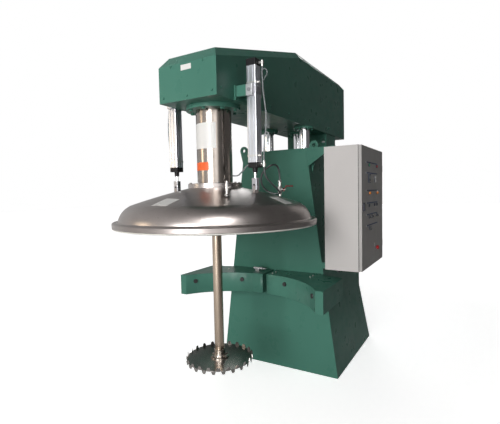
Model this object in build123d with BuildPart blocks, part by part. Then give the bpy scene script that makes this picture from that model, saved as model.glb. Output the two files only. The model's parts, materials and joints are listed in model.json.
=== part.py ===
from build123d import *
from math import cos, hypot, pi, radians, sin, tan
import os

# Dispersion mixer with a vacuum lid, in millimetres.
# The origin is on the floor, at the centre of the base. X runs across the machine towards the
# control cabinet, the spindle stands at the front on the -Y side, and Z is up.

# Overall layout
throat = 1554.0                 # from the base centre to the spindle
spindle_y = -throat
base_length = 1182.0
front_y = -base_length / 2      # front face of the column
base_half_width = 613.0
column_height = 2100.0
column_top_half_width = 332.0
waist_height = 633.0
waist_y = 470.0
shoulder_height = 1000.0
column_rear_y = 646.0
plate = 14.0                    # welded plate of the column
running_gap = 0.05              # radial clearance of shafts, rods and pins
seat_gap = 0.3                  # clearance between pieces that move past each other

# Bridge hood
hood_half_width = 246.0
hood_bottom = 2338.0
hood_front_y = spindle_y - 302.0
hood_rear_y = spindle_y + 2432.0
hood_kink_y = spindle_y + 1061.0
hood_front_height = 2585.0      # front corner, below the bevel
hood_level_height = 2947.0
bevel_in = 47.0
bevel_up = 60.0
hood_sheet = 5.0
belly_plate_thickness = 12.0

# Spindle, quill and blade
shaft_radius = 36.0
journal_radius = 45.0
shaft_top = 2700.0
quill_radius = 131.0
quill_wall = 13.0
quill_bottom = 1400.0
quill_floor = 30.0
quill_flange_radius = 200.0
quill_flange_thickness = 30.0
bearing_height = 55.0
blade_radius = 254.0
blade_height = 459.0
blade_thickness = 5.0
tooth_pairs = 22
tooth_height = 24.0
tooth_width = 33.0
tooth_lean = 12.0               # turn of each tooth from the tangent, degrees
hub_radius = 42.0
hub_flange_radius = 70.0
hub_height = 62.0

# Belt drive
motor_offset = 2020.0           # from the spindle to the motor shaft
motor_y = spindle_y + motor_offset
driven_sheave_radius = 186.0
drive_sheave_radius = 104.0
belt_count = 3
belt_width = 13.0
belt_depth = 10.0
belt_pitch = 20.0
belt_proud = 1.0
groove_gap = 0.5
sheave_bottom = 2520.0
sheave_height = belt_count * belt_pitch + 8.0

# Motor
motor_radius = 138.0
motor_top = 2262.0
motor_length = 620.0
motor_shaft_radius = 24.0
fin_count = 28
fin_height = 12.0
fin_thickness = 4.0
motor_plate_y = spindle_y + 1800.0
motor_plate_thickness = 16.0
motor_plate_half_width = 235.0
motor_plate_bottom = 1740.0

# Lift guides and ram
post_radius = 51.0
post_spacing = 400.0
post_y = spindle_y + 1250.0
post_bottom = 790.0
post_flange_radius = 100.0
post_flange_thickness = 22.0
bushing_radius = 74.0
bushing_length = 330.0
bushing_rise = 22.0
ram_y = spindle_y + 1560.0
ram_rod_radius = 48.0
ram_outer_radius = 82.0
ram_bore_radius = 66.0
ram_rise = 18.0
shelf_height = 905.0

# Lid
lid_radius = 704.0
lid_sheet = 5.0
rim_radius = 742.0
rim_bottom = 1480.0
rim_height = 36.0
gasket_height = 9.0
cone_edge_radius = 640.0        # two points of the lid's cone
cone_edge_height = 1618.0
neck_radius = 200.0
neck_height = 1745.0
crown = 8.0                     # rise of the lid's curve over a straight cone
knuckle_radius = 150.0
neck_pad = 8.0                  # thickness of the lid under the neck flange
neck_flange_height = 33.0
seal_outer_radius = 152.0
lug_thickness = 16.0
pin_height = 1745.0
pin_radius = 8.0

# Lid cylinders
cylinder_x = 356.0
cylinder_y = spindle_y - 18.0
cylinder_size = 75.0
cylinder_bore = 31.5
barrel_bottom = 1913.0
barrel_top = 2567.0
top_cap_height = 47.0
bottom_cap_height = 35.0
gland_height = 34.0
gland_radius = 19.0
rod_radius = 10.0
clevis_top = 1806.0
clevis_bottom = 1723.0
clevis_size = 40.0
trunnion_height = 2400.0
trunnion_pin_radius = 12.0
trunnion_ring = 4.0

# Tank cradle
cradle_bottom = 770.0
cradle_top = 951.0
cradle_radius = 735.0
cradle_tip_y = spindle_y + 376.0
cradle_outer_x = 695.0
cradle_bend_y = spindle_y + 865.0
cradle_root_x = 464.0
cradle_gap = 40.0
cradle_wall = 12.0
pad_radius = 20.0
pad_thickness = 12.0
pad_angles = (17.6, 52.2)

# Control cabinet
cabinet_left = 604.0
cabinet_right = 884.0
door_depth = 23.0
cabinet_front_y = spindle_y + 684.0
cabinet_rear_y = spindle_y + 1446.0
cabinet_bottom = 1055.0
cabinet_top = 2063.0
cabinet_sheet = 3.0
hinge_pin_radius = 5.0
hinge_radius = 9.0
hinge_length = 46.0

os.makedirs("parts", exist_ok=True)

spindle_axis = Axis((0, spindle_y, 0), (0, 0, 1))
motor_axis = Axis((0, motor_y, 0), (0, 0, 1))


def level(height, x=0.0, y=0.0):
    """Horizontal sketch plane, centred over a point."""
    return Plane(origin=(x, y, height), x_dir=(1, 0, 0), z_dir=(0, 0, 1))


def section(x, y):
    """Vertical sketch plane through an upright axis: local x is X, local y is Z."""
    return Plane(origin=(x, y, 0), x_dir=(1, 0, 0), z_dir=(0, -1, 0))


def facing_x(x, y=0.0, z=0.0):
    """Vertical sketch plane that faces +X: local x is Y, local y is Z."""
    return Plane(origin=(x, y, z), x_dir=(0, 1, 0), z_dir=(1, 0, 0))


def around(radius, count, start, height, x=0.0, y=0.0):
    """Horizontal planes on a bolt circle."""
    angles = [radians(start + 360.0 * k / count) for k in range(count)]
    return [level(height, x + radius * cos(a), y + radius * sin(a)) for a in angles]


def upright(radius, low, high, x, y, bore=0.0):
    """Upright round bar or tube."""
    with BuildPart() as bar:
        with BuildSketch(level(low, x, y)):
            Circle(radius)
            if bore:
                Circle(bore, mode=Mode.SUBTRACT)
        extrude(amount=high - low)
    return bar.part


def hex_bolts(planes, across, head, shank_radius, shank):
    """Hexagon-headed bolts: heads stand on the planes, shanks run behind them."""
    with BuildPart() as bolts:
        with BuildSketch(*planes):
            RegularPolygon(across / 2, 6, major_radius=False)
        extrude(amount=head)
        with BuildSketch(*planes):
            Circle(shank_radius)
        extrude(amount=-shank)
    return bolts.part


# Column frame: a weldment of tapered side plates with mitred plates between them, a shelf and two lugs
column_corners = [
    (front_y, 0),
    (base_length / 2, 0),
    (waist_y, waist_height),
    (column_rear_y, shoulder_height),
    (column_rear_y, column_height),
    (front_y, column_height),
]


def front_view(*points):
    """Front-view outline that cuts a block to the taper of the column."""
    with BuildSketch(section(0, front_y)) as view:
        with BuildLine():
            Polyline(*points, close=True)
        make_face()
    return view.sketch


def cut_to(outline, view):
    """Block with a side-view outline, cut to a front view."""
    with BuildPart() as block:
        with BuildSketch(facing_x(-base_half_width)):
            with BuildLine():
                Polyline(*outline, close=True)
            make_face()
        extrude(amount=2 * base_half_width)
        extrude(view, amount=column_rear_y - front_y, dir=(0, 1, 0), mode=Mode.INTERSECT)
    return block.part


def inner_corner(index):
    """Corner of the column's side view, moved in by the plates that meet there."""
    neighbours = [(index + step) % len(column_corners) for step in (-1, 0, 1)]
    before, corner, after = (Vector(*column_corners[k]) for k in neighbours)
    first = (corner - before).normalized()
    second = (after - corner).normalized()
    inward = [Vector(-way.Y, way.X) for way in (first, second)]
    move = (inward[0] + inward[1]) * (plate / (1 + inward[0].dot(inward[1])))
    return ((corner + move).X, (corner + move).Y)


deck_rear_y = motor_plate_y - 70.0
lug_x = 380.0
lug_y = spindle_y + 1050.0
lug_height = 2130.0
lug_root_height = 1880.0
lug_radius = 42.0
lug_hole_radius = 16.5
lug_plate = 20.0
rear_opening_bottom = 1080.0
rear_opening_top = 2030.0
rear_opening_half_width = 290.0
anchor_spacing = 960.0
anchor_hole_radius = 11.0
taper = (base_half_width - column_top_half_width) / column_height


def column_half_width(height):
    """Half width of the column at a height."""
    return base_half_width - taper * height


between = front_view(
    (-base_half_width + plate, 0),
    (base_half_width - plate, 0),
    (column_top_half_width - plate, column_height),
    (-column_top_half_width + plate, column_height),
)


def side_plate(side):
    """Tapered side plate."""
    return cut_to(
        column_corners,
        front_view(
            (side * (base_half_width - plate), 0),
            (side * base_half_width, 0),
            (side * column_top_half_width, column_height),
            (side * (column_top_half_width - plate), column_height),
        ),
    )


def cross_plate(index):
    """Plate between the side plates, along one edge of the side view, mitred to its neighbours."""
    following = (index + 1) % len(column_corners)
    outline = [column_corners[index], column_corners[following], inner_corner(following), inner_corner(index)]
    return cut_to(outline, between)


post_spots = [(-post_spacing / 2, post_y), (post_spacing / 2, post_y)]
floor_plate, lower_rear, waist_rear, upper_rear, deck_plate, front_plate = (
    cross_plate(index) for index in range(len(column_corners))
)

# anchor bolt holes
with BuildPart() as column_floor:
    add(floor_plate)
    with Locations(level(plate)):
        with GridLocations(anchor_spacing, anchor_spacing, 2, 2):
            Hole(anchor_hole_radius, depth=plate)

# service opening in the rear wall, open above behind the deck
with BuildPart() as rear_wall:
    add(upper_rear)
    with BuildSketch(section(0, column_rear_y + plate)):
        with Locations((0, (rear_opening_bottom + rear_opening_top) / 2)):
            Rectangle(2 * rear_opening_half_width, rear_opening_top - rear_opening_bottom)
    extrude(amount=3 * plate, mode=Mode.SUBTRACT)

# deck with holes for the guide bushings and the ram, ending in front of the motor
with BuildPart() as deck:
    add(deck_plate)
    with BuildSketch(level(column_height - 2 * plate)):
        with Locations((0, (deck_rear_y + column_rear_y) / 2)):
            Rectangle(2 * base_half_width, column_rear_y - deck_rear_y)
        with Locations(*post_spots):
            Circle(bushing_radius + seat_gap)
        with Locations((0, ram_y)):
            Circle(ram_outer_radius + seat_gap)
    extrude(amount=4 * plate, mode=Mode.SUBTRACT)

# shelf under the lift ram
with BuildPart() as shelf:
    with BuildSketch(facing_x(-base_half_width)):
        with Locations(((front_y + plate + deck_rear_y) / 2, shelf_height - plate / 2)):
            Rectangle(deck_rear_y - front_y - plate, plate)
    extrude(amount=2 * base_half_width)
    extrude(between, amount=column_rear_y - front_y, dir=(0, 1, 0), mode=Mode.INTERSECT)
    with BuildSketch(level(shelf_height - 2 * plate)):
        with Locations(*post_spots):
            Circle(post_radius + 12)
    extrude(amount=3 * plate, mode=Mode.SUBTRACT)


def lifting_lug(side):
    """Lug welded to the outside of a side plate."""
    with BuildPart() as lug:
        with BuildSketch(section(0, lug_y + lug_plate / 2)):
            with Locations((side * lug_x, lug_height)):
                Circle(lug_radius)
            with BuildLine():
                Polyline(
                    (side * column_half_width(column_height), column_height),
                    (side * column_half_width(lug_root_height), lug_root_height),
                    (side * (column_half_width(lug_root_height) + 1), lug_root_height),
                    close=True,
                )
            make_face()
            make_hull()
            with Locations((side * lug_x, lug_height)):
                Circle(lug_hole_radius, mode=Mode.SUBTRACT)
        extrude(amount=lug_plate)
        add(side_plate(side), mode=Mode.SUBTRACT)
    return lug.part


column_frame = Compound(
    label="column_frame",
    children=[
        column_floor.part, lower_rear, waist_rear, rear_wall.part, deck.part, front_plate, shelf.part,
        side_plate(-1), side_plate(1), lifting_lug(-1), lifting_lug(1),
    ],
)

# Louvred cover over the service opening
cover_margin = 22.0
cover_sheet = 4.0
louvre_count = 9
louvre_width = 420.0
louvre_pitch = 70.0
louvre_depth = 14.0
louvre_height = 26.0
opening_centre = (rear_opening_bottom + rear_opening_top) / 2
with BuildPart() as rear_cover:
    with BuildSketch(Plane(origin=(0, column_rear_y, opening_centre), x_dir=(-1, 0, 0), z_dir=(0, 1, 0))):
        Rectangle(
            2 * (rear_opening_half_width + cover_margin),
            rear_opening_top - rear_opening_bottom + 2 * cover_margin,
        )
        with GridLocations(1, louvre_pitch, 1, louvre_count):
            Rectangle(louvre_width, louvre_height * 0.6, mode=Mode.SUBTRACT)
    extrude(amount=cover_sheet)
    for k in range(louvre_count):
        slot = opening_centre + (k - (louvre_count - 1) / 2) * louvre_pitch - louvre_height * 0.3
        with BuildSketch(Plane.YZ):
            with BuildLine():
                Polyline(
                    (column_rear_y + cover_sheet, slot + louvre_height),
                    (column_rear_y + cover_sheet + louvre_depth, slot),
                    (column_rear_y + cover_sheet + louvre_depth - 3, slot),
                    (column_rear_y + cover_sheet - 2, slot + louvre_height - 5),
                    (column_rear_y + cover_sheet - 2, slot + louvre_height),
                    close=True,
                )
            make_face()
        extrude(amount=louvre_width / 2 + 6, both=True)
rear_cover.part.label = "rear_cover"

# Tank cradle: two box arms with a concave face, open below
with BuildSketch() as arm_plan:
    with BuildLine():
        Polyline(
            (cradle_gap / 2, front_y),
            (cradle_root_x, front_y),
            (cradle_root_x, front_y - 23),
            (cradle_outer_x, cradle_bend_y),
            (cradle_outer_x, cradle_tip_y),
            (cradle_gap / 2, cradle_tip_y),
            close=True,
        )
    make_face()
    with Locations((0, spindle_y)):
        Circle(cradle_radius, mode=Mode.SUBTRACT)
with BuildPart() as tank_cradle:
    with BuildSketch(level(cradle_bottom)):
        add(arm_plan.sketch)
        mirror(arm_plan.sketch, about=Plane.YZ)
    extrude(amount=cradle_top - cradle_bottom)
    with BuildSketch(level(cradle_bottom)):
        add(offset(arm_plan.sketch, amount=-cradle_wall, kind=Kind.INTERSECTION, mode=Mode.PRIVATE))
        mirror(about=Plane.YZ)
    extrude(amount=cradle_top - cradle_bottom - cradle_wall, mode=Mode.SUBTRACT)
    # clearance holes for the bolts that tie the two arms together
    tie_spots = [
        Plane(origin=(0, spindle_y + 850, height), x_dir=(0, 1, 0), z_dir=(1, 0, 0))
        for height in (cradle_bottom + 40, cradle_top - 45)
    ]
    with BuildSketch(*tie_spots):
        Circle(8 + seat_gap)
    extrude(amount=cradle_gap / 2 + 2 * cradle_wall, both=True, mode=Mode.SUBTRACT)
tank_cradle.part.label = "tank_cradle"

# Rubber pads that the tank rests against
with BuildPart() as tank_pads:
    pad_height = (cradle_bottom + cradle_top) / 2 + 26
    pad_planes = []
    for side in (-1, 1):
        for angle in pad_angles:
            out = (side * sin(radians(angle)), cos(radians(angle)), 0)
            pad_planes.append(
                Plane(
                    origin=(
                        (cradle_radius - seat_gap) * out[0],
                        spindle_y + (cradle_radius - seat_gap) * out[1],
                        pad_height,
                    ),
                    z_dir=(-out[0], -out[1], 0),
                )
            )
    with BuildSketch(*pad_planes):
        Circle(pad_radius)
    extrude(amount=pad_thickness, taper=6)
tank_pads.part.label = "tank_pads"

# Tank sensor lying on top of the cradle: body of revolution along X with its foot
sensor_y = spindle_y + 850.0
sensor_height = cradle_top + 22.0
sensor_left = -172.0
with BuildPart() as tank_sensor:
    with BuildSketch(section(0, sensor_y)):
        with BuildLine():
            Polyline(
                (sensor_left, sensor_height),
                (sensor_left, sensor_height + 15),
                (sensor_left + 14, sensor_height + 15),
                (sensor_left + 14, sensor_height + 13),
                (sensor_left + 66, sensor_height + 13),
                (sensor_left + 66, sensor_height + 16),
                (sensor_left + 92, sensor_height + 16),
                (sensor_left + 92, sensor_height + 8),
                (sensor_left + 126, sensor_height + 8),
                (sensor_left + 126, sensor_height),
                close=True,
            )
        make_face()
    revolve(axis=Axis((0, sensor_y, sensor_height), (1, 0, 0)))
    with BuildSketch(level(cradle_top, sensor_left + 40, sensor_y)):
        Rectangle(44, 30)
    extrude(amount=sensor_height - cradle_top - 4)
tank_sensor.part.label = "tank_sensor"

# Brackets that carry the cabinet: a wing from the shoulder and a shelf below
bracket_plate = 12.0
bracket_y = front_y + 14.0
pad_length = 110.0
with BuildPart() as upper_bracket:
    with BuildSketch(section(0, bracket_y)):
        with BuildLine():
            Polyline(
                (column_half_width(column_height) + 0.4, column_height),
                (cabinet_left, column_height),
                (cabinet_left, 2000),
                (cabinet_left - bracket_plate, 2000),
                (515, 2045),
                (column_half_width(1935) + 0.4, 1935),
                close=True,
            )
        make_face()
    extrude(amount=bracket_plate)
    with BuildSketch(facing_x(cabinet_left - bracket_plate)):
        with Locations((bracket_y, 2050)):
            Rectangle(pad_length, 100)
    extrude(amount=bracket_plate)
with BuildPart() as lower_bracket:
    with BuildSketch(section(0, bracket_y)):
        with BuildLine():
            Polyline(
                (column_half_width(cabinet_bottom) + 0.4, cabinet_bottom),
                (cabinet_left + 150, cabinet_bottom),
                (cabinet_left + 150, cabinet_bottom - bracket_plate),
                (column_half_width(1000) + 0.4, 1000),
                close=True,
            )
        make_face()
    extrude(amount=bracket_plate)
    with BuildSketch(level(cabinet_bottom - bracket_plate)):
        with Locations(((cabinet_left + cabinet_left + 150) / 2, bracket_y)):
            Rectangle(150, pad_length)
    extrude(amount=bracket_plate)
cabinet_brackets = Compound(label="cabinet_brackets", children=[upper_bracket.part, lower_bracket.part])

# Control cabinet, open towards its door, with the hinge brackets and their pins
cabinet_width = cabinet_rear_y - cabinet_front_y
cabinet_height = cabinet_top - cabinet_bottom
cabinet_mid_y = (cabinet_front_y + cabinet_rear_y) / 2
cabinet_mid_z = (cabinet_bottom + cabinet_top) / 2
lip = 22.0
hinge_x = cabinet_right + 12.0
hinge_y = cabinet_rear_y + 12.0
hinge_heights = (cabinet_bottom + 130, cabinet_top - 130 - hinge_length)
bracket_height = 12.0
with BuildPart() as cabinet_body:
    with BuildSketch(facing_x(cabinet_left, cabinet_mid_y, cabinet_mid_z)):
        Rectangle(cabinet_width, cabinet_height)
    extrude(amount=cabinet_right - cabinet_left)
    offset(amount=-cabinet_sheet, openings=cabinet_body.faces().sort_by(Axis.X)[-1])
    with BuildSketch(facing_x(cabinet_right - cabinet_sheet, cabinet_mid_y, cabinet_mid_z)):
        Rectangle(cabinet_width, cabinet_height)
        Rectangle(cabinet_width - 2 * lip, cabinet_height - 2 * lip, mode=Mode.SUBTRACT)
    extrude(amount=cabinet_sheet)
    for height in hinge_heights:
        with BuildSketch(level(height - bracket_height, hinge_x, hinge_y)):
            with Locations((-11, -1)):
                Rectangle(38, 22)
        extrude(amount=bracket_height)
        with BuildSketch(level(height, hinge_x, hinge_y)):
            Circle(hinge_pin_radius)
        extrude(amount=hinge_length + 4)
cabinet_body.part.label = "cabinet_body"

# Mounting plate inside the cabinet with its drive, contactors and terminals
standoff = 14.0
panel_sheet = 3.0
panel_x = cabinet_left + cabinet_sheet + standoff
panel_width = cabinet_width - 2 * lip - 30
panel_height = cabinet_height - 2 * lip - 40
device_face = panel_x + panel_sheet
devices = [
    ((-130, 210), (240, 380), 150),
    ((150, 300), (90, 120), 90),
    ((255, 300), (90, 120), 90),
    ((200, 120), (200, 90), 80),
    ((0, -110), (520, 50), 60),
    ((0, -300), (560, 70), 55),
]
with BuildPart() as electrical_panel:
    with BuildSketch(facing_x(panel_x, cabinet_mid_y, cabinet_mid_z)):
        Rectangle(panel_width, panel_height)
    extrude(amount=panel_sheet)
    with BuildSketch(facing_x(panel_x, cabinet_mid_y, cabinet_mid_z)):
        with GridLocations(panel_width - 40, panel_height - 40, 2, 2):
            Circle(7)
    extrude(amount=-standoff)
    for place, size, depth in devices:
        with BuildSketch(facing_x(device_face, cabinet_mid_y, cabinet_mid_z)):
            with Locations(place):
                RectangleRounded(size[0], size[1], 6)
        extrude(amount=depth)
electrical_panel.part.label = "electrical_panel"

# Cable glands under the cabinet
gland_spots = [(cabinet_left + 90, cabinet_front_y + 70), (cabinet_left + 90, cabinet_front_y + 140)]
with BuildPart() as cable_glands:
    for spot in gland_spots:
        with BuildSketch(level(cabinet_bottom, spot[0], spot[1])):
            RegularPolygon(19, 6)
        extrude(amount=-12)
        with BuildSketch(level(cabinet_bottom - 12, spot[0], spot[1])):
            Circle(15)
        extrude(amount=-16, taper=8)
cable_glands.part.label = "cable_glands"

# Lift ram standing on the shelf, with its collar on the deck
ram_floor = 25.0
ram_gland_length = 60.0
ram_top = column_height + ram_rise
piston_length = 60.0
piston_bottom = shelf_height + ram_floor + 15.0
with BuildPart() as ram_barrel:
    with BuildSketch(section(0, ram_y)):
        with BuildLine():
            Polyline(
                (0, shelf_height),
                (ram_outer_radius, shelf_height),
                (ram_outer_radius, column_height),
                (ram_outer_radius + 26, column_height),
                (ram_outer_radius + 26, column_height + 12),
                (ram_outer_radius, column_height + 12),
                (ram_outer_radius - 6, ram_top),
                (ram_rod_radius + running_gap, ram_top),
                (ram_rod_radius + running_gap, ram_top - ram_gland_length),
                (ram_bore_radius, ram_top - ram_gland_length),
                (ram_bore_radius, shelf_height + ram_floor),
                (0, shelf_height + ram_floor),
                close=True,
            )
        make_face()
    revolve(axis=Axis((0, ram_y, 0), (0, 0, 1)))
ram_barrel.part.label = "ram_barrel"

with BuildPart() as ram_rod:
    add(upright(ram_rod_radius, piston_bottom, hood_bottom, 0, ram_y))
    add(upright(ram_bore_radius - running_gap, piston_bottom, piston_bottom + piston_length, 0, ram_y))
ram_rod.part.label = "ram_rod"

# Guide bushings in the deck and the posts that slide in them
with BuildPart() as guide_bushings:
    for side in (-1, 1):
        with BuildSketch(section(side * post_spacing / 2, post_y)):
            with BuildLine():
                Polyline(
                    (post_radius + running_gap, column_height + bushing_rise - bushing_length),
                    (bushing_radius, column_height + bushing_rise - bushing_length),
                    (bushing_radius, column_height),
                    (bushing_radius + 20, column_height),
                    (bushing_radius + 20, column_height + 10),
                    (bushing_radius - 6, column_height + 10),
                    (bushing_radius - 10, column_height + bushing_rise),
                    (post_radius + running_gap, column_height + bushing_rise),
                    close=True,
                )
            make_face()
        revolve(axis=Axis((side * post_spacing / 2, post_y, 0), (0, 0, 1)))
guide_bushings.part.label = "guide_bushings"

with BuildPart() as guide_posts:
    with BuildSketch(level(post_bottom, 0, post_y)):
        with Locations((-post_spacing / 2, 0), (post_spacing / 2, 0)):
            Circle(post_radius)
    extrude(amount=hood_bottom - post_bottom)
    chamfer(guide_posts.edges().group_by(Axis.Z)[0], 4)
guide_posts.part.label = "guide_posts"

# Flanges under the bridge: one round the quill, one round each post, one on the ram rod
post_bolt_circle = 77.0
quill_bolt_circle = 172.0
bolt_clearance = 0.4
flange_bolt_radius = 8.0


def belly_flange(radius, thickness, bore, x, y, bolt_circle, bolt_radius, count, start):
    """Round flange bolted up against the belly plate."""
    with BuildPart() as flange:
        with BuildSketch(level(hood_bottom - thickness, x, y)):
            Circle(radius)
            Circle(bore, mode=Mode.SUBTRACT)
            with PolarLocations(bolt_circle, count, start_angle=start):
                Circle(bolt_radius + bolt_clearance, mode=Mode.SUBTRACT)
        extrude(amount=thickness)
    return flange.part


quill_bolt_count = 8
quill_bolt_start = 12.0
post_bolt_count = 6
quill_flange = belly_flange(
    quill_flange_radius, quill_flange_thickness, quill_radius + seat_gap, 0, spindle_y,
    quill_bolt_circle, flange_bolt_radius, quill_bolt_count, quill_bolt_start,
)
belly_flanges = Compound(
    label="belly_flanges",
    children=[quill_flange] + [
        belly_flange(
            post_flange_radius, post_flange_thickness, post_radius + seat_gap, x, post_y,
            post_bolt_circle, flange_bolt_radius, post_bolt_count, 20,
        )
        for x in (-post_spacing / 2, post_spacing / 2)
    ] + [
        belly_flange(
            post_flange_radius, post_flange_thickness, ram_rod_radius + seat_gap, 0, ram_y,
            post_bolt_circle, flange_bolt_radius, post_bolt_count, 0,
        )
    ],
)

# Bridge hood: a bevelled sheet-metal cover, open below
hood_length = hood_rear_y - hood_front_y


def bevel_planes():
    """Planes that cut the bevel along the top of the hood, each facing out of the metal."""
    slope = Vector(0, hood_kink_y - hood_front_y, hood_level_height - hood_front_height)
    planes = []
    for side in (-1, 1):
        across = Vector(-side * bevel_in, 0, bevel_up)
        for start, along in (
            (Vector(side * hood_half_width, hood_front_y, hood_front_height), slope),
            (Vector(side * hood_half_width, hood_kink_y, hood_level_height), Vector(0, 1, 0)),
        ):
            normal = along.cross(across).normalized()
            planes.append((start, normal if normal.Z > 0 else normal * -1))
    front_normal = Vector(1, 0, 0).cross(Vector(0, bevel_in, bevel_up)).normalized()
    planes.append(
        (Vector(0, hood_front_y, hood_front_height), front_normal if front_normal.Z > 0 else front_normal * -1)
    )
    rear_normal = Vector(1, 0, 0).cross(Vector(0, -bevel_in, bevel_up)).normalized()
    planes.append(
        (Vector(0, hood_rear_y, hood_level_height), rear_normal if rear_normal.Z > 0 else rear_normal * -1)
    )
    return [Plane(origin=start, z_dir=normal) for start, normal in planes]


with BuildPart() as bridge_hood:
    with BuildSketch(facing_x(-hood_half_width)):
        with BuildLine():
            Polyline(
                (hood_front_y, hood_bottom),
                (hood_rear_y, hood_bottom),
                (hood_rear_y, hood_level_height + bevel_up),
                (hood_kink_y, hood_level_height + bevel_up),
                (hood_front_y, hood_front_height + bevel_up),
                close=True,
            )
        make_face()
    extrude(amount=2 * hood_half_width)
    for cut in bevel_planes():
        split(bisect_by=cut, keep=Keep.BOTTOM)
    offset(amount=-hood_sheet, openings=bridge_hood.faces().sort_by(Axis.Z)[0])
bridge_hood.part.label = "bridge_hood"

# Belly plate that closes the hood and carries everything below it
belly_gap = hood_sheet + seat_gap
motor_hole_radius = 58.0
with BuildPart() as belly_plate:
    with BuildSketch(level(hood_bottom, 0, (hood_front_y + hood_rear_y) / 2)):
        Rectangle(2 * (hood_half_width - belly_gap), hood_length - 2 * belly_gap)
    extrude(amount=belly_plate_thickness)
    with BuildSketch(level(hood_bottom)):
        with Locations((0, spindle_y)):
            Circle(journal_radius + 8)
        with Locations((0, motor_y)):
            Circle(motor_hole_radius)
    extrude(amount=belly_plate_thickness, mode=Mode.SUBTRACT)
    # two stiffening channels along the bridge
    channel_height = 110.0
    channel_web = 10.0
    for side in (-1, 1):
        with BuildSketch(level(hood_bottom + belly_plate_thickness)):
            with Locations((side * 212, (hood_front_y + hood_rear_y) / 2)):
                Rectangle(channel_web, hood_length - 120)
        extrude(amount=channel_height)
belly_plate.part.label = "belly_plate"

# Quill: tube with a closed foot that holds the lower bearing
bearing_outer_radius = quill_radius - quill_wall - seat_gap
lower_bearing_height = quill_bottom + quill_floor
upper_bearing_height = 2270.0
with BuildPart() as quill_tube:
    with BuildSketch(section(0, spindle_y)):
        with BuildLine():
            Polyline(
                (shaft_radius + 1, quill_bottom),
                (quill_radius - 4, quill_bottom),
                (quill_radius, quill_bottom + 4),
                (quill_radius, hood_bottom),
                (quill_radius - quill_wall, hood_bottom),
                (quill_radius - quill_wall, upper_bearing_height + bearing_height),
                (quill_radius - quill_wall, upper_bearing_height),
                (quill_radius - quill_wall - 8, upper_bearing_height),
                (quill_radius - quill_wall - 8, upper_bearing_height - 12),
                (quill_radius - quill_wall, upper_bearing_height - 12),
                (quill_radius - quill_wall, lower_bearing_height),
                (shaft_radius + 1, lower_bearing_height),
                close=True,
            )
        make_face()
    revolve(axis=spindle_axis)
quill_tube.part.label = "quill_tube"

with BuildPart() as spindle_bearings:
    with BuildSketch(section(0, spindle_y)):
        for height in (lower_bearing_height, upper_bearing_height):
            with BuildLine():
                Polyline(
                    (journal_radius + running_gap, height),
                    (bearing_outer_radius, height),
                    (bearing_outer_radius, height + bearing_height),
                    (bearing_outer_radius - 22, height + bearing_height),
                    (bearing_outer_radius - 22, height + bearing_height - 5),
                    (journal_radius + 20, height + bearing_height - 5),
                    (journal_radius + 20, height + bearing_height),
                    (journal_radius + running_gap, height + bearing_height),
                    close=True,
                )
            make_face()
    revolve(axis=spindle_axis)
spindle_bearings.part.label = "spindle_bearings"

# Spindle: the shaft steps up to its bearing journals inside the quill
with BuildPart() as spindle_shaft:
    shaft_low = blade_height + blade_thickness / 2
    with BuildSketch(section(0, spindle_y)):
        with BuildLine():
            Polyline(
                (0, shaft_low),
                (shaft_radius, shaft_low),
                (shaft_radius, lower_bearing_height + seat_gap),
                (journal_radius, lower_bearing_height + seat_gap + 5),
                (journal_radius, sheave_bottom),
                (journal_radius - 6, sheave_bottom),
                (journal_radius - 6, shaft_top - 4),
                (journal_radius - 10, shaft_top),
                (0, shaft_top),
                close=True,
            )
        make_face()
    revolve(axis=spindle_axis)
spindle_shaft.part.label = "spindle_shaft"


def sheave(radius, bore, axis_y, hub_size):
    """Grooved belt sheave with a web and a hub."""
    rim = belt_depth + 12
    groove_floor = radius - belt_depth + belt_proud - groove_gap
    half = sheave_height / 2
    middle = sheave_bottom + half
    with BuildPart() as wheel:
        with BuildSketch(section(0, axis_y)):
            with Locations(((bore + radius) / 2, middle)):
                Rectangle(radius - bore, sheave_height)
            if radius - rim - hub_size > 12:
                for edge in (-1, 1):
                    with Locations(((hub_size + radius - rim) / 2, middle + edge * half)):
                        Rectangle(radius - rim - hub_size, half, mode=Mode.SUBTRACT)
            for k in range(belt_count):
                height = sheave_bottom + 4 + belt_pitch * (k + 0.5)
                with Locations((groove_floor + belt_depth / 2, height)):
                    Rectangle(belt_depth, belt_width + 2 * groove_gap, mode=Mode.SUBTRACT)
        revolve(axis=Axis((0, axis_y, 0), (0, 0, 1)))
    return wheel.part


driven_sheave = sheave(driven_sheave_radius, journal_radius - 6 + running_gap, spindle_y, 75.0)
driven_sheave.label = "driven_sheave"
drive_sheave = sheave(drive_sheave_radius, motor_shaft_radius + running_gap, motor_y, 50.0)


# Belts: each one a trapezoid band round both sheaves
def belt_loop(grow):
    """Outline of a belt at a distance from the sheaves' outer edges."""
    with BuildSketch() as loop:
        with Locations((0, spindle_y)):
            Circle(driven_sheave_radius + grow)
        with Locations((0, motor_y)):
            Circle(drive_sheave_radius + grow)
        make_hull()
    return loop.sketch


with BuildPart() as drive_belts:
    for k in range(belt_count):
        height = sheave_bottom + 4 + belt_pitch * (k + 0.5)
        with BuildSketch(level(height - belt_width / 2)):
            add(belt_loop(belt_proud))
            add(belt_loop(belt_proud - belt_depth), mode=Mode.SUBTRACT)
        extrude(amount=belt_width)
drive_belts.part.label = "drive_belts"

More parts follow.
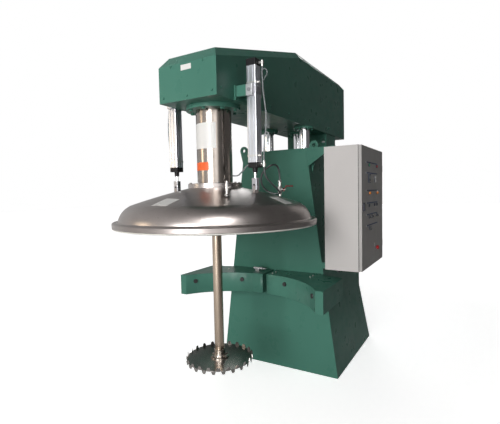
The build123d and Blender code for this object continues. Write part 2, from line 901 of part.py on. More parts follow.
# Motor bracket: slotted plate with two gussets, hanging from the belly plate
gusset_depth = 290.0
gusset_thickness = 10.0
gusset_bottom = 1860.0
with BuildPart() as motor_bracket:
    with BuildSketch(section(0, motor_plate_y + motor_plate_thickness)):
        with Locations((0, (motor_plate_bottom + hood_bottom) / 2)):
            Rectangle(2 * motor_plate_half_width, hood_bottom - motor_plate_bottom)
        with Locations(*[(185 + 14 * k, 2265) for k in range(3)]):
            SlotOverall(46, 8, rotation=90, mode=Mode.SUBTRACT)
    extrude(amount=motor_plate_thickness)
    for side in (-1, 1):
        gusset_x = side * (motor_plate_half_width - gusset_thickness / 2)
        with BuildSketch(facing_x(gusset_x - gusset_thickness / 2)):
            with BuildLine():
                Polyline(
                    (motor_plate_y + motor_plate_thickness - 2, hood_bottom),
                    (motor_plate_y + motor_plate_thickness + gusset_depth, hood_bottom),
                    (motor_plate_y + motor_plate_thickness + gusset_depth, hood_bottom - 120),
                    (motor_plate_y + motor_plate_thickness + 60, gusset_bottom),
                    (motor_plate_y + motor_plate_thickness - 2, gusset_bottom),
                    close=True,
                )
            make_face()
            with Locations((motor_plate_y + motor_plate_thickness + 48, 2262)):
                SlotOverall(60, 14, rotation=90, mode=Mode.SUBTRACT)
        extrude(amount=gusset_thickness)
motor_bracket.part.label = "motor_bracket"

# Motor: finned frame, end shields, feet and terminal box
motor_bottom = motor_top - motor_length
foot_x = 110.0
with BuildPart() as motor_body:
    with BuildSketch(section(0, motor_y)):
        with BuildLine():
            Polyline(
                (motor_shaft_radius + 1, motor_top + 8),
                (60, motor_top + 8),
                (60, motor_top),
                (motor_radius - 18, motor_top - 14),
                (motor_radius, motor_top - 40),
                (motor_radius, motor_bottom + 110),
                (motor_radius + 8, motor_bottom + 110),
                (motor_radius + 8, motor_bottom + 22),
                (motor_radius - 16, motor_bottom),
                (0, motor_bottom),
                (0, motor_bottom + 60),
                (motor_shaft_radius + 1, motor_bottom + 60),
                close=True,
            )
        make_face()
    revolve(axis=motor_axis)
    with BuildSketch(level(motor_bottom + 130, 0, motor_y)):
        with PolarLocations(motor_radius + fin_height / 2 - 3, fin_count, start_angle=45):
            Rectangle(fin_height + 6, fin_thickness)
    extrude(amount=motor_length - 180)
    for side in (-1, 1):
        with BuildSketch(level(motor_bottom + 150)):
            foot_deep = motor_y - 70 - (motor_plate_y + motor_plate_thickness)
            with Locations((side * foot_x, motor_plate_y + motor_plate_thickness + foot_deep / 2)):
                Rectangle(26, foot_deep)
            with Locations((side * (foot_x + 18), motor_plate_y + motor_plate_thickness + 9)):
                Rectangle(62, 18)
        extrude(amount=330)
    with BuildSketch(level(motor_bottom + 300)):
        with Locations((-motor_radius - 22, motor_y)):
            RectangleRounded(84, 110, 8)
    extrude(amount=130)
motor_body.part.label = "motor_body"

motor_shaft_top = sheave_bottom + sheave_height + 12
motor_shaft = upright(motor_shaft_radius, motor_bottom + 60 + seat_gap, motor_shaft_top, 0, motor_y)
motor_shaft += upright(motor_shaft_radius + 8, motor_top + 8 + seat_gap, sheave_bottom, 0, motor_y)
motor_rotor = Compound(label="motor_rotor", children=[motor_shaft, drive_sheave])

# Blade: a disc whose teeth stand up and down by turns
tooth_ring = blade_radius - 6.0
with BuildPart() as mixing_blade:
    with BuildSketch(level(blade_height - blade_thickness / 2, 0, spindle_y)):
        Circle(blade_radius - 4)
        Circle(12.4, mode=Mode.SUBTRACT)
        with PolarLocations(hub_flange_radius - 12, 6):
            Circle(5 + bolt_clearance, mode=Mode.SUBTRACT)
        with PolarLocations(blade_radius - 4, 2 * tooth_pairs, start_angle=90 / tooth_pairs):
            RegularPolygon(9, 3, mode=Mode.SUBTRACT)
    extrude(amount=blade_thickness)
    for way in (-1, 1):
        planes = []
        for k in range(tooth_pairs):
            turn = 360.0 * (k + (0.5 if way > 0 else 0.0)) / tooth_pairs
            at = radians(turn)
            lean = radians(turn + 90 + tooth_lean)
            planes.append(
                Plane(
                    origin=(tooth_ring * cos(at), spindle_y + tooth_ring * sin(at), blade_height),
                    x_dir=(cos(lean), sin(lean), 0),
                    z_dir=(sin(lean), -cos(lean), 0),
                )
            )
        with BuildSketch(*planes):
            with BuildLine():
                Polyline(
                    (-tooth_width / 2, 0),
                    (tooth_width / 2, 0),
                    (tooth_width / 2, way * blade_thickness),
                    (tooth_width / 2 - 7, way * tooth_height),
                    (-tooth_width / 2 + 9, way * tooth_height),
                    (-tooth_width / 2, way * blade_thickness),
                    close=True,
                )
            make_face()
        extrude(amount=blade_thickness / 2, both=True)
mixing_blade.part.label = "mixing_blade"

# Hub: flared collar on the shaft's end, bolted to the blade
hub_bottom = blade_height + blade_thickness / 2
with BuildPart() as blade_hub:
    with BuildSketch(section(0, spindle_y)):
        with BuildLine():
            base = Line((shaft_radius + running_gap, hub_bottom), (hub_flange_radius, hub_bottom))
            rim_up = Line(base @ 1, (hub_flange_radius, hub_bottom + 9))
            step_in = Line(rim_up @ 1, (hub_radius + 5, hub_bottom + 9))
            flare = TangentArc(step_in @ 1, (hub_radius, hub_bottom + 34), tangent=(-0.4, 0.9))
            Polyline(
                flare @ 1,
                (hub_radius, hub_bottom + hub_height - 3),
                (hub_radius - 3, hub_bottom + hub_height),
                (shaft_radius + running_gap, hub_bottom + hub_height),
                base @ 0,
            )
        make_face()
    revolve(axis=spindle_axis)
    with BuildSketch(level(hub_bottom, 0, spindle_y)):
        with PolarLocations(hub_flange_radius - 12, 6):
            Circle(5 + bolt_clearance)
    extrude(amount=12, mode=Mode.SUBTRACT)
blade_hub.part.label = "blade_hub"

# Hub bolts, and the washer and screw under the blade
with BuildPart() as hub_bolts:
    bolt_planes = around(hub_flange_radius - 12, 6, 0, hub_bottom + 9, 0, spindle_y)
    add(hex_bolts(bolt_planes, 16, 6.5, 5, 9 + blade_thickness))
    with BuildSketch(level(blade_height - blade_thickness / 2, 0, spindle_y)):
        Circle(34)
    extrude(amount=-7)
    with BuildSketch(level(blade_height - blade_thickness / 2 - 7, 0, spindle_y)):
        RegularPolygon(15, 6)
    extrude(amount=-12)
hub_bolts.part.label = "hub_bolts"

# Lid: a shallow spun dish with a knuckle, a flat neck pad and a turned rim
cone_slope = (neck_height - cone_edge_height) / (cone_edge_radius - neck_radius)
cone_corner_height = cone_edge_height - (lid_radius - cone_edge_radius) * cone_slope
lid_centre_hole = quill_radius + 4.0


def cone_height(radius):
    """Height of the lid's outside at a distance from the spindle."""
    share = (radius - neck_radius) / (lid_radius - neck_radius)
    return cone_edge_height + (cone_edge_radius - radius) * cone_slope + 4 * crown * share * (1 - share)


with BuildPart() as lid_shell:
    with BuildSketch(section(0, spindle_y)):
        with BuildLine():
            mid_radius = (neck_radius + lid_radius) / 2
            mid_height = cone_height(mid_radius)
            start = Polyline(
                (lid_radius - lid_sheet, rim_bottom),
                (lid_radius, rim_bottom),
                (lid_radius, cone_corner_height),
            )
            outside = ThreePointArc(start @ 1, (mid_radius, mid_height), (neck_radius, neck_height))
            pad = Polyline(
                outside @ 1,
                (lid_centre_hole, neck_height),
                (lid_centre_hole, neck_height - neck_pad),
                (neck_radius - 2, neck_height - neck_pad),
            )
            inside = ThreePointArc(
                pad @ 1,
                (mid_radius, mid_height - lid_sheet * 1.2),
                (lid_radius - lid_sheet, cone_corner_height - lid_sheet * 1.2),
            )
            Line(inside @ 1, start @ 0)
        make_face()
    revolve(axis=spindle_axis)
    outer_edge = lid_shell.edges().filter_by(GeomType.CIRCLE).filter_by(
        lambda e: abs(e.radius - lid_radius) < 0.01 and abs(e.center().Z - cone_corner_height) < 1
    )
    fillet(outer_edge, knuckle_radius)
    inner_edge = lid_shell.edges().filter_by(GeomType.CIRCLE).filter_by(
        lambda e: abs(e.radius - lid_radius + lid_sheet) < 0.01 and e.center().Z > rim_bottom + 40
    )
    fillet(inner_edge, knuckle_radius - lid_sheet)
    # rim: a flat ring with an upstand, as a rolled channel
    with BuildSketch(section(0, spindle_y)):
        with BuildLine():
            Polyline(
                (lid_radius - 1, rim_bottom),
                (rim_radius - 3, rim_bottom),
                (rim_radius, rim_bottom + 3),
                (rim_radius, rim_bottom + rim_height - 6),
                (rim_radius - 6, rim_bottom + rim_height),
                (lid_radius + 6, rim_bottom + rim_height),
                (lid_radius - 1, rim_bottom + rim_height + 6),
                close=True,
            )
        make_face()
    revolve(axis=spindle_axis)
    # lugs for the cylinder clevises, standing on the cone
    for side in (-1, 1):
        with BuildSketch(facing_x(side * cylinder_x - lug_thickness / 2)):
            lug_foot = cone_height(cylinder_x) - 14
            with Locations((cylinder_y, pin_height)):
                Circle(17)
            with BuildLine():
                Polyline(
                    (cylinder_y - 30, lug_foot),
                    (cylinder_y + 30, lug_foot),
                    (cylinder_y, lug_foot + 10),
                    close=True,
                )
            make_face()
            make_hull()
            with Locations((cylinder_y, pin_height)):
                Circle(pin_radius + running_gap, mode=Mode.SUBTRACT)
        extrude(amount=lug_thickness)
    # inside of the dish stays clear of the lugs
    with BuildSketch(section(0, spindle_y)):
        with BuildLine():
            Polyline(
                (lid_centre_hole, rim_bottom - 1),
                (lid_radius - lid_sheet, rim_bottom - 1),
                (lid_radius - lid_sheet, cone_corner_height - 110),
                (cone_edge_radius - 60, cone_height(cone_edge_radius - 60) - 26),
                (neck_radius, neck_height - 14),
                (lid_centre_hole, neck_height - 14),
                close=True,
            )
        make_face()
    revolve(axis=spindle_axis, mode=Mode.SUBTRACT)
lid_shell.part.label = "lid_shell"

with BuildPart() as lid_gasket:
    with BuildSketch(section(0, spindle_y)):
        with BuildLine():
            Polyline(
                (lid_radius - 12, rim_bottom),
                (lid_radius - 12, rim_bottom - gasket_height + 3),
                (lid_radius - 6, rim_bottom - gasket_height),
                (rim_radius - 8, rim_bottom - gasket_height),
                (rim_radius - 2, rim_bottom - gasket_height + 3),
                (rim_radius - 2, rim_bottom),
                close=True,
            )
        make_face()
    revolve(axis=spindle_axis)
lid_gasket.part.label = "lid_gasket"

# Neck: bolted ring that holds the seal round the quill
neck_bolt_circle = neck_radius - 18.0
neck_bolt_count = 8
neck_bolt_start = 42.0
neck_bolt_radius = 6.0
with BuildPart() as neck_flange:
    with BuildSketch(section(0, spindle_y)):
        with BuildLine():
            Polyline(
                (seal_outer_radius + seat_gap, neck_height),
                (neck_radius, neck_height),
                (neck_radius, neck_height + neck_flange_height - 2),
                (neck_radius - 2, neck_height + neck_flange_height),
                (quill_radius + 3, neck_height + neck_flange_height),
                (quill_radius + 3, neck_height + neck_flange_height - 6),
                (seal_outer_radius + seat_gap, neck_height + neck_flange_height - 6),
                close=True,
            )
        make_face()
    revolve(axis=spindle_axis)
    with BuildSketch(level(neck_height, 0, spindle_y)):
        with PolarLocations(neck_bolt_circle, neck_bolt_count, start_angle=neck_bolt_start):
            Circle(neck_bolt_radius + bolt_clearance)
    extrude(amount=neck_flange_height, mode=Mode.SUBTRACT)
neck_flange.part.label = "neck_flange"

with BuildPart() as neck_seal:
    with BuildSketch(section(0, spindle_y)):
        with BuildLine():
            Polyline(
                (quill_radius + running_gap, neck_height + 4),
                (lid_centre_hole + 1, neck_height),
                (seal_outer_radius, neck_height),
                (seal_outer_radius, neck_height + neck_flange_height - 6),
                (quill_radius + 6, neck_height + neck_flange_height - 6),
                (quill_radius + running_gap, neck_height + neck_flange_height - 12),
                close=True,
            )
        make_face()
    revolve(axis=spindle_axis)
neck_seal.part.label = "neck_seal"

neck_bolts = hex_bolts(
    around(neck_bolt_circle, neck_bolt_count, neck_bolt_start, neck_height + neck_flange_height, 0, spindle_y),
    19, 8, neck_bolt_radius, neck_flange_height,
)
neck_bolts.label = "neck_bolts"


# Lid cylinders: grooved square barrels with bored glands
def cylinder_profile(size, corner):
    """Square barrel profile with two grooves in each face."""
    with BuildSketch() as profile:
        RectangleRounded(size, size, corner)
        with PolarLocations(0, 4):
            with Locations((size / 2 - 2, -size / 5), (size / 2 - 2, size / 5)):
                Rectangle(5, 6, mode=Mode.SUBTRACT)
        Circle(cylinder_bore, mode=Mode.SUBTRACT)
    return profile.sketch


with BuildPart() as cylinder_barrels:
    for side in (-1, 1):
        with BuildSketch(level(barrel_bottom, side * cylinder_x, cylinder_y)):
            add(cylinder_profile(cylinder_size, 7))
        extrude(amount=barrel_top - barrel_bottom)
cylinder_barrels.part.label = "cylinder_barrels"

with BuildPart() as cylinder_caps:
    for side in (-1, 1):
        with BuildSketch(level(barrel_top, side * cylinder_x, cylinder_y)):
            RectangleRounded(cylinder_size, cylinder_size, 7)
        extrude(amount=top_cap_height)
        with BuildSketch(level(barrel_bottom - bottom_cap_height, side * cylinder_x, cylinder_y)):
            RectangleRounded(cylinder_size, cylinder_size, 7)
        extrude(amount=bottom_cap_height)
        with BuildSketch(level(barrel_bottom - bottom_cap_height, side * cylinder_x, cylinder_y)):
            Circle(gland_radius)
        extrude(amount=-gland_height, taper=4)
        with BuildSketch(level(barrel_bottom, side * cylinder_x, cylinder_y)):
            Circle(rod_radius + running_gap)
        extrude(amount=-(bottom_cap_height + gland_height), mode=Mode.SUBTRACT)
    chamfer(cylinder_caps.faces().sort_by(Axis.Z)[-2:].edges(), 2)
cylinder_caps.part.label = "cylinder_caps"

lid_piston_thickness = 26.0
with BuildPart() as cylinder_rods:
    for side in (-1, 1):
        add(upright(rod_radius, clevis_top - 24, barrel_top - 6, side * cylinder_x, cylinder_y))
        add(
            upright(
                cylinder_bore - running_gap, barrel_top - 6 - lid_piston_thickness, barrel_top - 6,
                side * cylinder_x, cylinder_y,
            )
        )
cylinder_rods.part.label = "cylinder_rods"

clevis_slot = lug_thickness + 2 * seat_gap
with BuildPart() as clevis_forks:
    for side in (-1, 1):
        with BuildSketch(level(clevis_bottom, side * cylinder_x, cylinder_y)):
            RectangleRounded(clevis_size, clevis_size, 5)
        extrude(amount=clevis_top - clevis_bottom)
        with BuildSketch(level(clevis_bottom, side * cylinder_x, cylinder_y)):
            Rectangle(clevis_slot, clevis_size + 2)
        extrude(amount=pin_height + 19 - clevis_bottom, mode=Mode.SUBTRACT)
        with BuildSketch(level(clevis_top - 24.3, side * cylinder_x, cylinder_y)):
            Circle(rod_radius + running_gap)
        extrude(amount=30, mode=Mode.SUBTRACT)
        with BuildSketch(facing_x(side * cylinder_x)):
            with Locations((cylinder_y, pin_height)):
                Circle(pin_radius + running_gap)
        extrude(amount=clevis_size, both=True, mode=Mode.SUBTRACT)

with BuildPart() as clevis_pins:
    for side in (-1, 1):
        with BuildSketch(facing_x(side * cylinder_x - clevis_size / 2 - 5)):
            with Locations((cylinder_y, pin_height)):
                Circle(pin_radius)
        extrude(amount=clevis_size + 10)
        for end in (-1, 1):
            with BuildSketch(facing_x(side * cylinder_x + end * (clevis_size / 2 + 2.5) - 1.5)):
                with Locations((cylinder_y, pin_height)):
                    Circle(pin_radius + 4)
            extrude(amount=3)
rod_clevises = Compound(label="rod_clevises", children=[clevis_forks.part, clevis_pins.part])

# Trunnion brackets on the bridge's sides, with the blocks and rings that hold the cylinders
arm_height = 75.0
arm_depth = 24.0
arm_offset = cylinder_size / 2 + trunnion_ring + 1.0 + arm_depth / 2
bracket_flange = 12.0
block_half = 24.0
with BuildPart() as trunnion_brackets:
    for side in (-1, 1):
        flange_x = side * (hood_half_width + bracket_flange / 2)
        with BuildSketch(facing_x(flange_x - bracket_flange / 2)):
            with Locations((cylinder_y, hood_bottom + 52)):
                Rectangle(2 * (arm_offset + arm_depth / 2) + 24, 100)
        extrude(amount=bracket_flange)
        arm_start = hood_half_width + bracket_flange - 1
        arm_end = cylinder_x - block_half
        for front in (-1, 1):
            with BuildSketch(level(trunnion_height - arm_height / 2)):
                with Locations((side * (arm_start + arm_end) / 2, cylinder_y + front * arm_offset)):
                    Rectangle(arm_end - arm_start, arm_depth)
            extrude(amount=arm_height)
trunnion_brackets.part.label = "trunnion_brackets"

with BuildPart() as trunnion_blocks:
    for side in (-1, 1):
        for front in (-1, 1):
            with BuildSketch(level(trunnion_height - arm_height / 2)):
                with Locations((side * cylinder_x, cylinder_y + front * arm_offset)):
                    Rectangle(2 * block_half, arm_depth)
            extrude(amount=arm_height)
            with BuildSketch(section(side * cylinder_x, cylinder_y + front * arm_offset)):
                with Locations((0, trunnion_height)):
                    Circle(trunnion_pin_radius + running_gap)
            extrude(amount=arm_depth, both=True, mode=Mode.SUBTRACT)
trunnion_blocks.part.label = "trunnion_blocks"

with BuildPart() as trunnion_rings:
    for side in (-1, 1):
        with BuildSketch(level(trunnion_height - 22, side * cylinder_x, cylinder_y)):
            RectangleRounded(cylinder_size + 2 * trunnion_ring, cylinder_size + 2 * trunnion_ring, 9)
            RectangleRounded(cylinder_size + 0.2, cylinder_size + 0.2, 7, mode=Mode.SUBTRACT)
        extrude(amount=44)
        for front in (-1, 1):
            pin_start = cylinder_y + front * (cylinder_size / 2 + 1.5)
            pin_plane = Plane(origin=(side * cylinder_x, pin_start, trunnion_height), z_dir=(0, front, 0))
            with BuildSketch(pin_plane):
                Circle(trunnion_pin_radius)
            extrude(amount=arm_depth + trunnion_ring + 5)
trunnion_rings.part.label = "trunnion_rings"

# Air fittings: elbows on the caps, clamp bands round the barrels and the oiler under the belly
band_heights = (trunnion_height + 48, barrel_bottom + 40)
top_port = barrel_top + 22.0
bottom_port = barrel_bottom - 14.0
side_face = cylinder_x + cylinder_size / 2
with BuildPart() as air_fittings:
    for side in (-1, 1):
        for height in (top_port, bottom_port):
            with BuildSketch(facing_x(side * side_face)):
                with Locations((cylinder_y + 12, height)):
                    RegularPolygon(11, 6)
            extrude(amount=side * 10)
            with BuildSketch(facing_x(side * (side_face + 10))):
                with Locations((cylinder_y + 12, height)):
                    Circle(8)
            extrude(amount=side * 26)
        with BuildSketch(level(top_port + 11, side * (side_face + 26), cylinder_y + 12)):
            Circle(9)
        extrude(amount=-41)
        elbow_low = bottom_port - (18 if side > 0 else 11)
        with BuildSketch(level(elbow_low, side * (side_face + 26), cylinder_y + 12)):
            Circle(9)
        extrude(amount=bottom_port + 24 - elbow_low)
        for height in band_heights:
            with BuildSketch(level(height, side * cylinder_x, cylinder_y)):
                RectangleRounded(cylinder_size + 6, cylinder_size + 6, 9)
                RectangleRounded(cylinder_size + 0.2, cylinder_size + 0.2, 7, mode=Mode.SUBTRACT)
            extrude(amount=11)
            with BuildSketch(level(height, side * (side_face + 11), cylinder_y - 10)):
                Rectangle(18, 14)
            extrude(amount=11)
air_fittings.part.label = "air_fittings"

# Vent nozzle and inlet pipe on the lid
vent_x = 311.0
vent_y = spindle_y - 308.0
inlet_x = 412.0
inlet_y = spindle_y + 250.0
vent_radius = 9.0
pipe_radius = 11.0
vent_top = 1782.0
valve_height = 1722.0
inlet_top = 1792.0
pipe_rise = 0.3                 # from the lid's outside to a pipe's foot


def pipe_foot(x, y, radius):
    """Height of the foot of an upright pipe that stands on the lid."""
    return cone_height(hypot(x, y - spindle_y) - radius) + pipe_rise


with BuildPart() as lid_nozzles:
    # vent: pipe, hexagon collar, side screw and cap
    add(upright(vent_radius, pipe_foot(vent_x, vent_y, vent_radius), vent_top, vent_x, vent_y))
    with BuildSketch(level(vent_top - 92, vent_x, vent_y)):
        RegularPolygon(17, 6)
    extrude(amount=12)
    add(upright(13, vent_top - 62, vent_top - 18, vent_x, vent_y))
    with BuildSketch(facing_x(vent_x, vent_y, vent_top - 40)):
        Circle(5)
    extrude(amount=30)
    with BuildSketch(facing_x(vent_x + 22, vent_y, vent_top - 40)):
        RegularPolygon(9, 6)
    extrude(amount=8)
    # inlet: pipe, ball valve body with its stem boss, and hose tail
    add(upright(pipe_radius, pipe_foot(inlet_x, inlet_y, pipe_radius), inlet_top, inlet_x, inlet_y))
    with BuildSketch(level(valve_height - 26, inlet_x, inlet_y)):
        RegularPolygon(18, 6)
    extrude(amount=52)
    with BuildSketch(facing_x(inlet_x, inlet_y, valve_height)):
        Circle(13)
    extrude(amount=30)
    with BuildSketch(facing_x(inlet_x + 30, inlet_y, valve_height)):
        Circle(6)
    extrude(amount=13)
    with BuildSketch(level(inlet_top - 12, inlet_x, inlet_y)):
        RegularPolygon(15, 6)
    extrude(amount=12)
lid_nozzles.part.label = "lid_nozzles"

# Valve lever: cranked flat handle turning on the stem
lever_length = 146.0
lever_thickness = 3.0
lever_x = inlet_x + 30 + 4
with BuildPart() as valve_lever:
    with BuildSketch(facing_x(lever_x, inlet_y, valve_height)):
        Circle(11)
        with Locations((20, 14)):
            Rectangle(44, 10, rotation=35)
        Circle(6 + running_gap, mode=Mode.SUBTRACT)
    extrude(amount=lever_thickness)
    with BuildSketch(facing_x(lever_x, inlet_y, valve_height)):
        with Locations((lever_length / 2 + 22, 27)):
            RectangleRounded(lever_length - 20, 12, 4)
    extrude(amount=lever_thickness)
valve_lever.part.label = "valve_lever"


# Hoses: tubes of straight runs joined by tangent arcs
def tube(name, points, radius):
    """Tube along a route of points, with each arc as large as its two runs allow."""
    spots = [Vector(*point) for point in points]
    runs = [b - a for a, b in zip(spots, spots[1:])]
    radii = []
    for before, after in zip(runs, runs[1:]):
        turn = radians(before.get_angle(after))
        radii.append(0.45 * min(before.length, after.length) / tan(turn / 2))
    with BuildPart() as hose:
        with BuildLine() as route:
            FilletPolyline(*spots, radius=radii)
        with BuildSketch(Plane(origin=spots[0], z_dir=runs[0])):
            Circle(radius)
        sweep(path=route.line)
    length = sum(edge.length for edge in route.edges())
    print(name, "length", round(length, 1), "smallest radius", round(min(radii), 1))
    print(name, "volume ratio", round(hose.part.volume / (pi * radius ** 2 * length), 4))
    return hose.part


hose_radius = 6.5
elbow_drop = 18.0
elbow_x = side_face + 26.0
elbow_y = cylinder_y + 12.0
air_hose = tube(
    "air_hose",
    [
        (elbow_x, elbow_y, bottom_port - elbow_drop),
        (elbow_x, elbow_y, bottom_port - elbow_drop - 62),
        (elbow_x + 32, spindle_y + 62, 1756),
        (462, spindle_y + 138, 1712),
        (436, spindle_y + 212, 1690),
        (352, spindle_y + 186, 1698),
        (310, spindle_y + 140, 1762),
        (324, spindle_y + 126, 1850),
        (395, spindle_y + 168, 1914),
        (inlet_x, inlet_y, 1890),
        (inlet_x, inlet_y, inlet_top),
    ],
    hose_radius,
)
air_hose.label = "air_hose"

purge_start = (cylinder_x - cylinder_size / 2, cylinder_y + 12, bottom_port)
purge_angle = radians(31)
purge_end = (quill_radius * cos(purge_angle), spindle_y + quill_radius * sin(purge_angle), 1832.0)
purge_lead = (
    (quill_radius + 40) * cos(purge_angle),
    spindle_y + (quill_radius + 40) * sin(purge_angle),
    1832.0,
)
purge_hose = tube(
    "purge_hose",
    [
        purge_start,
        (purge_start[0] - 26, purge_start[1], bottom_port),
        (purge_start[0] - 58, purge_start[1] + 20, bottom_port - 8),
        (purge_start[0] - 96, purge_start[1] + 46, bottom_port - 34),
        purge_lead,
        purge_end,
    ],
    5.0,
)

# Air line clamped along each barrel, bowed out between the clamp bands
line_radius = 4.5


def barrel_line(side):
    """Air line from the lower elbow up the barrel to the upper one."""
    x0 = side_face + 26
    y0 = cylinder_y + 12
    low = bottom_port + 24
    high = top_port - 30
    points = [
        (x0, y0, low),
        (x0, y0, low + 60),
        (x0 + 6, y0, low + 125),
        (x0 + 18, y0, low + 200),
        (x0 + 24, y0, low + 290),
        (x0 + 17, y0, low + 380),
        (x0 + 5, y0, low + 460),
        (x0, y0, low + 530),
        (x0, y0, high),
    ]
    return tube(f"air_line_{side}", [(side * x, y, z) for x, y, z in points], line_radius)


air_tubes = Compound(label="air_tubes", children=[purge_hose, barrel_line(-1), barrel_line(1)])

# Bolts and screws carried by the bridge
down = (0, 0, -1)
quill_bolt_planes = [
    Plane(origin=p.origin, z_dir=down)
    for p in around(quill_bolt_circle, quill_bolt_count, quill_bolt_start,
                    hood_bottom - quill_flange_thickness, 0, spindle_y)
]
post_bolt_planes = [
    Plane(origin=p.origin, z_dir=down)
    for x, y, start in ((-post_spacing / 2, post_y, 20), (post_spacing / 2, post_y, 20), (0, ram_y, 0))
    for p in around(post_bolt_circle, post_bolt_count, start, hood_bottom - post_flange_thickness, x, y)
]
screw_row = hood_bottom + 56.0
screw_first = spindle_y - 250.0
screw_pitch = 350.0
screw_count = 8
screw_size = 17.0
side_screws = [
    Plane(origin=(side * hood_half_width, screw_first + k * screw_pitch, screw_row), z_dir=(side, 0, 0))
    for side in (-1, 1) for k in range(screw_count)
]
upper_screws = [
    Plane(origin=(side * hood_half_width, spindle_y + 1871, 2695), z_dir=(side, 0, 0)) for side in (-1, 1)
]
front_screws = [
    Plane(origin=(x, hood_front_y, z), z_dir=(0, -1, 0))
    for x, z in ((136, 2576), (-136, 2576), (0, 2365), (-208, 2374), (208, 2374))
]
plate_bolts = [
    Plane(origin=(x, motor_plate_y, z), z_dir=(0, -1, 0))
    for x in (-118, 118) for z in (2215, 1850)
]
with BuildPart() as flange_bolts:
    add(hex_bolts(quill_bolt_planes, 24, 12, flange_bolt_radius, quill_flange_thickness))
    add(hex_bolts(post_bolt_planes, 24, 12, flange_bolt_radius, post_flange_thickness))
with BuildPart() as hood_screws:
    with BuildSketch(*(side_screws + upper_screws + front_screws + plate_bolts)):
        RegularPolygon(screw_size / 2, 6)
    extrude(amount=6)
bridge_fasteners = Compound(label="bridge_fasteners", children=[flange_bolts.part, hood_screws.part])

# Bolts carried by the column: arm ties, cradle screws and rear cover screws
tie_length = cradle_gap + 2 * cradle_wall
with BuildPart() as column_bolts:
    for spot in tie_spots:
        left = Plane(origin=(-tie_length / 2, spot.origin.Y, spot.origin.Z), z_dir=(-1, 0, 0))
        right = Plane(origin=(tie_length / 2, spot.origin.Y, spot.origin.Z), z_dir=(1, 0, 0))
        add(hex_bolts([left], 26, 10, 8, tie_length))
        with BuildSketch(right):
            RegularPolygon(15, 6)
        extrude(amount=12)
    with BuildSketch(*[level(cradle_top, x, spindle_y + y) for x in (-430, 60, 430) for y in (790, 855)]):
        RegularPolygon(9, 6)
    extrude(amount=7)
    cover_spots = [
        Plane(origin=(x, column_rear_y + cover_sheet, z), z_dir=(0, 1, 0))
        for x in (-rear_opening_half_width - 11, rear_opening_half_width + 11)
        for z in (rear_opening_bottom, opening_centre, rear_opening_top)
    ]
    with BuildSketch(*cover_spots):
        RegularPolygon(8, 6)
    extrude(amount=5)
column_bolts.part.label = "column_bolts"

# Oil tank and pump of the lift, standing on the column's floor
with BuildPart() as power_pack:
    with BuildSketch(level(plate, 0, 120)):
        RectangleRounded(460, 320, 20)
    extrude(amount=260)
    chamfer(power_pack.edges().group_by(Axis.Z)[-1], 6)
    with BuildSketch(level(plate + 260, -90, 120)):
        Circle(78)
    extrude(amount=24)
    with BuildSketch(level(plate + 284, -90, 120)):
        Circle(66)
    extrude(amount=210)
    with BuildSketch(level(plate + 260, 110, 120)):
        Rectangle(120, 90)
    extrude(amount=70)
    with BuildSketch(level(plate + 260, 165, 210)):
        Circle(22)
    extrude(amount=36)
power_pack.part.label = "power_pack"

# Cabinet door: pan with holes for its controls and the barrels of its hinges
door_gap = seat_gap
door_back = cabinet_right + door_gap
door_face = cabinet_right + door_depth
door_margin = 3.0
door_sheet = 2.5
button_hole = 11.2
row_green = 1912.0
row_lamps = 1680.0
row_push = 1576.0
row_switch = 1481.0
row_knob = 1387.0
row_knob_high = 1800.0
row_stop = 1193.0
column_a = spindle_y + 918.0
column_b = spindle_y + 1020.0
column_c = spindle_y + 1110.0
column_d = spindle_y + 1198.0
controls = {
    "green_button": (column_a, row_green),
    "red_button": (column_d, row_green),
    "push_button_1": (column_a, row_push),
    "push_button_2": (column_c, row_push),
    "push_button_3": (column_d, row_push),
    "selector_1": (column_a, row_switch),
    "selector_2": (column_b, row_switch),
    "selector_3": (column_d, row_switch),
    "speed_knob": (column_a, row_knob),
    "stop_button": (spindle_y + 1167.0, row_stop),
}
lamps = [(column_a, row_lamps), (column_d, row_lamps)]
meter_spot = (column_a, row_knob_high)
latch_y = spindle_y + 734.0
latch_z = 1571.0
with BuildPart() as cabinet_door:
    with BuildSketch(facing_x(door_back, cabinet_mid_y, cabinet_mid_z)):
        Rectangle(cabinet_width - 2 * door_margin, cabinet_height - 2 * door_margin)
    extrude(amount=door_face - door_back)
    offset(amount=-door_sheet, openings=cabinet_door.faces().sort_by(Axis.X)[0])
    with BuildSketch(facing_x(door_face)):
        with Locations(*(list(controls.values()) + lamps)):
            Circle(button_hole)
        with Locations((latch_y, latch_z)):
            Circle(button_hole)
    extrude(amount=-2 * door_sheet, mode=Mode.SUBTRACT)
    for height in hinge_heights:
        with BuildSketch(level(height + seat_gap, hinge_x, hinge_y)):
            Circle(hinge_radius)
            with Locations((4, -10)):
                Rectangle(7, 18)
            Circle(hinge_pin_radius + running_gap, mode=Mode.SUBTRACT)
        extrude(amount=hinge_length)
cabinet_door.part.label = "cabinet_door"

# Door latch: round escutcheon shaft, swing handle and cam inside
with BuildPart() as door_latch:
    with BuildSketch(facing_x(door_back + 3, latch_y, latch_z)):
        Circle(button_hole - 0.1)
    extrude(amount=door_face - door_back + 4)
    with BuildSketch(facing_x(door_face + seat_gap, latch_y, latch_z)):
        SlotOverall(68, 26, rotation=90)
    extrude(amount=12)
    with BuildSketch(facing_x(door_back + 1, latch_y, latch_z)):
        with Locations((-4, 0)):
            RectangleRounded(34, 18, 4)
    extrude(amount=4)
door_latch.part.label = "door_latch"

# Bezels of the buttons, switches, lamps and meter
bezel_radius = 14.5
bezel_depth = 5.0
with BuildPart() as button_bezels:
    with BuildSketch(facing_x(door_face)):
        with Locations(*(list(controls.values()))):
            Circle(bezel_radius)
            Circle(button_hole, mode=Mode.SUBTRACT)
    extrude(amount=bezel_depth)

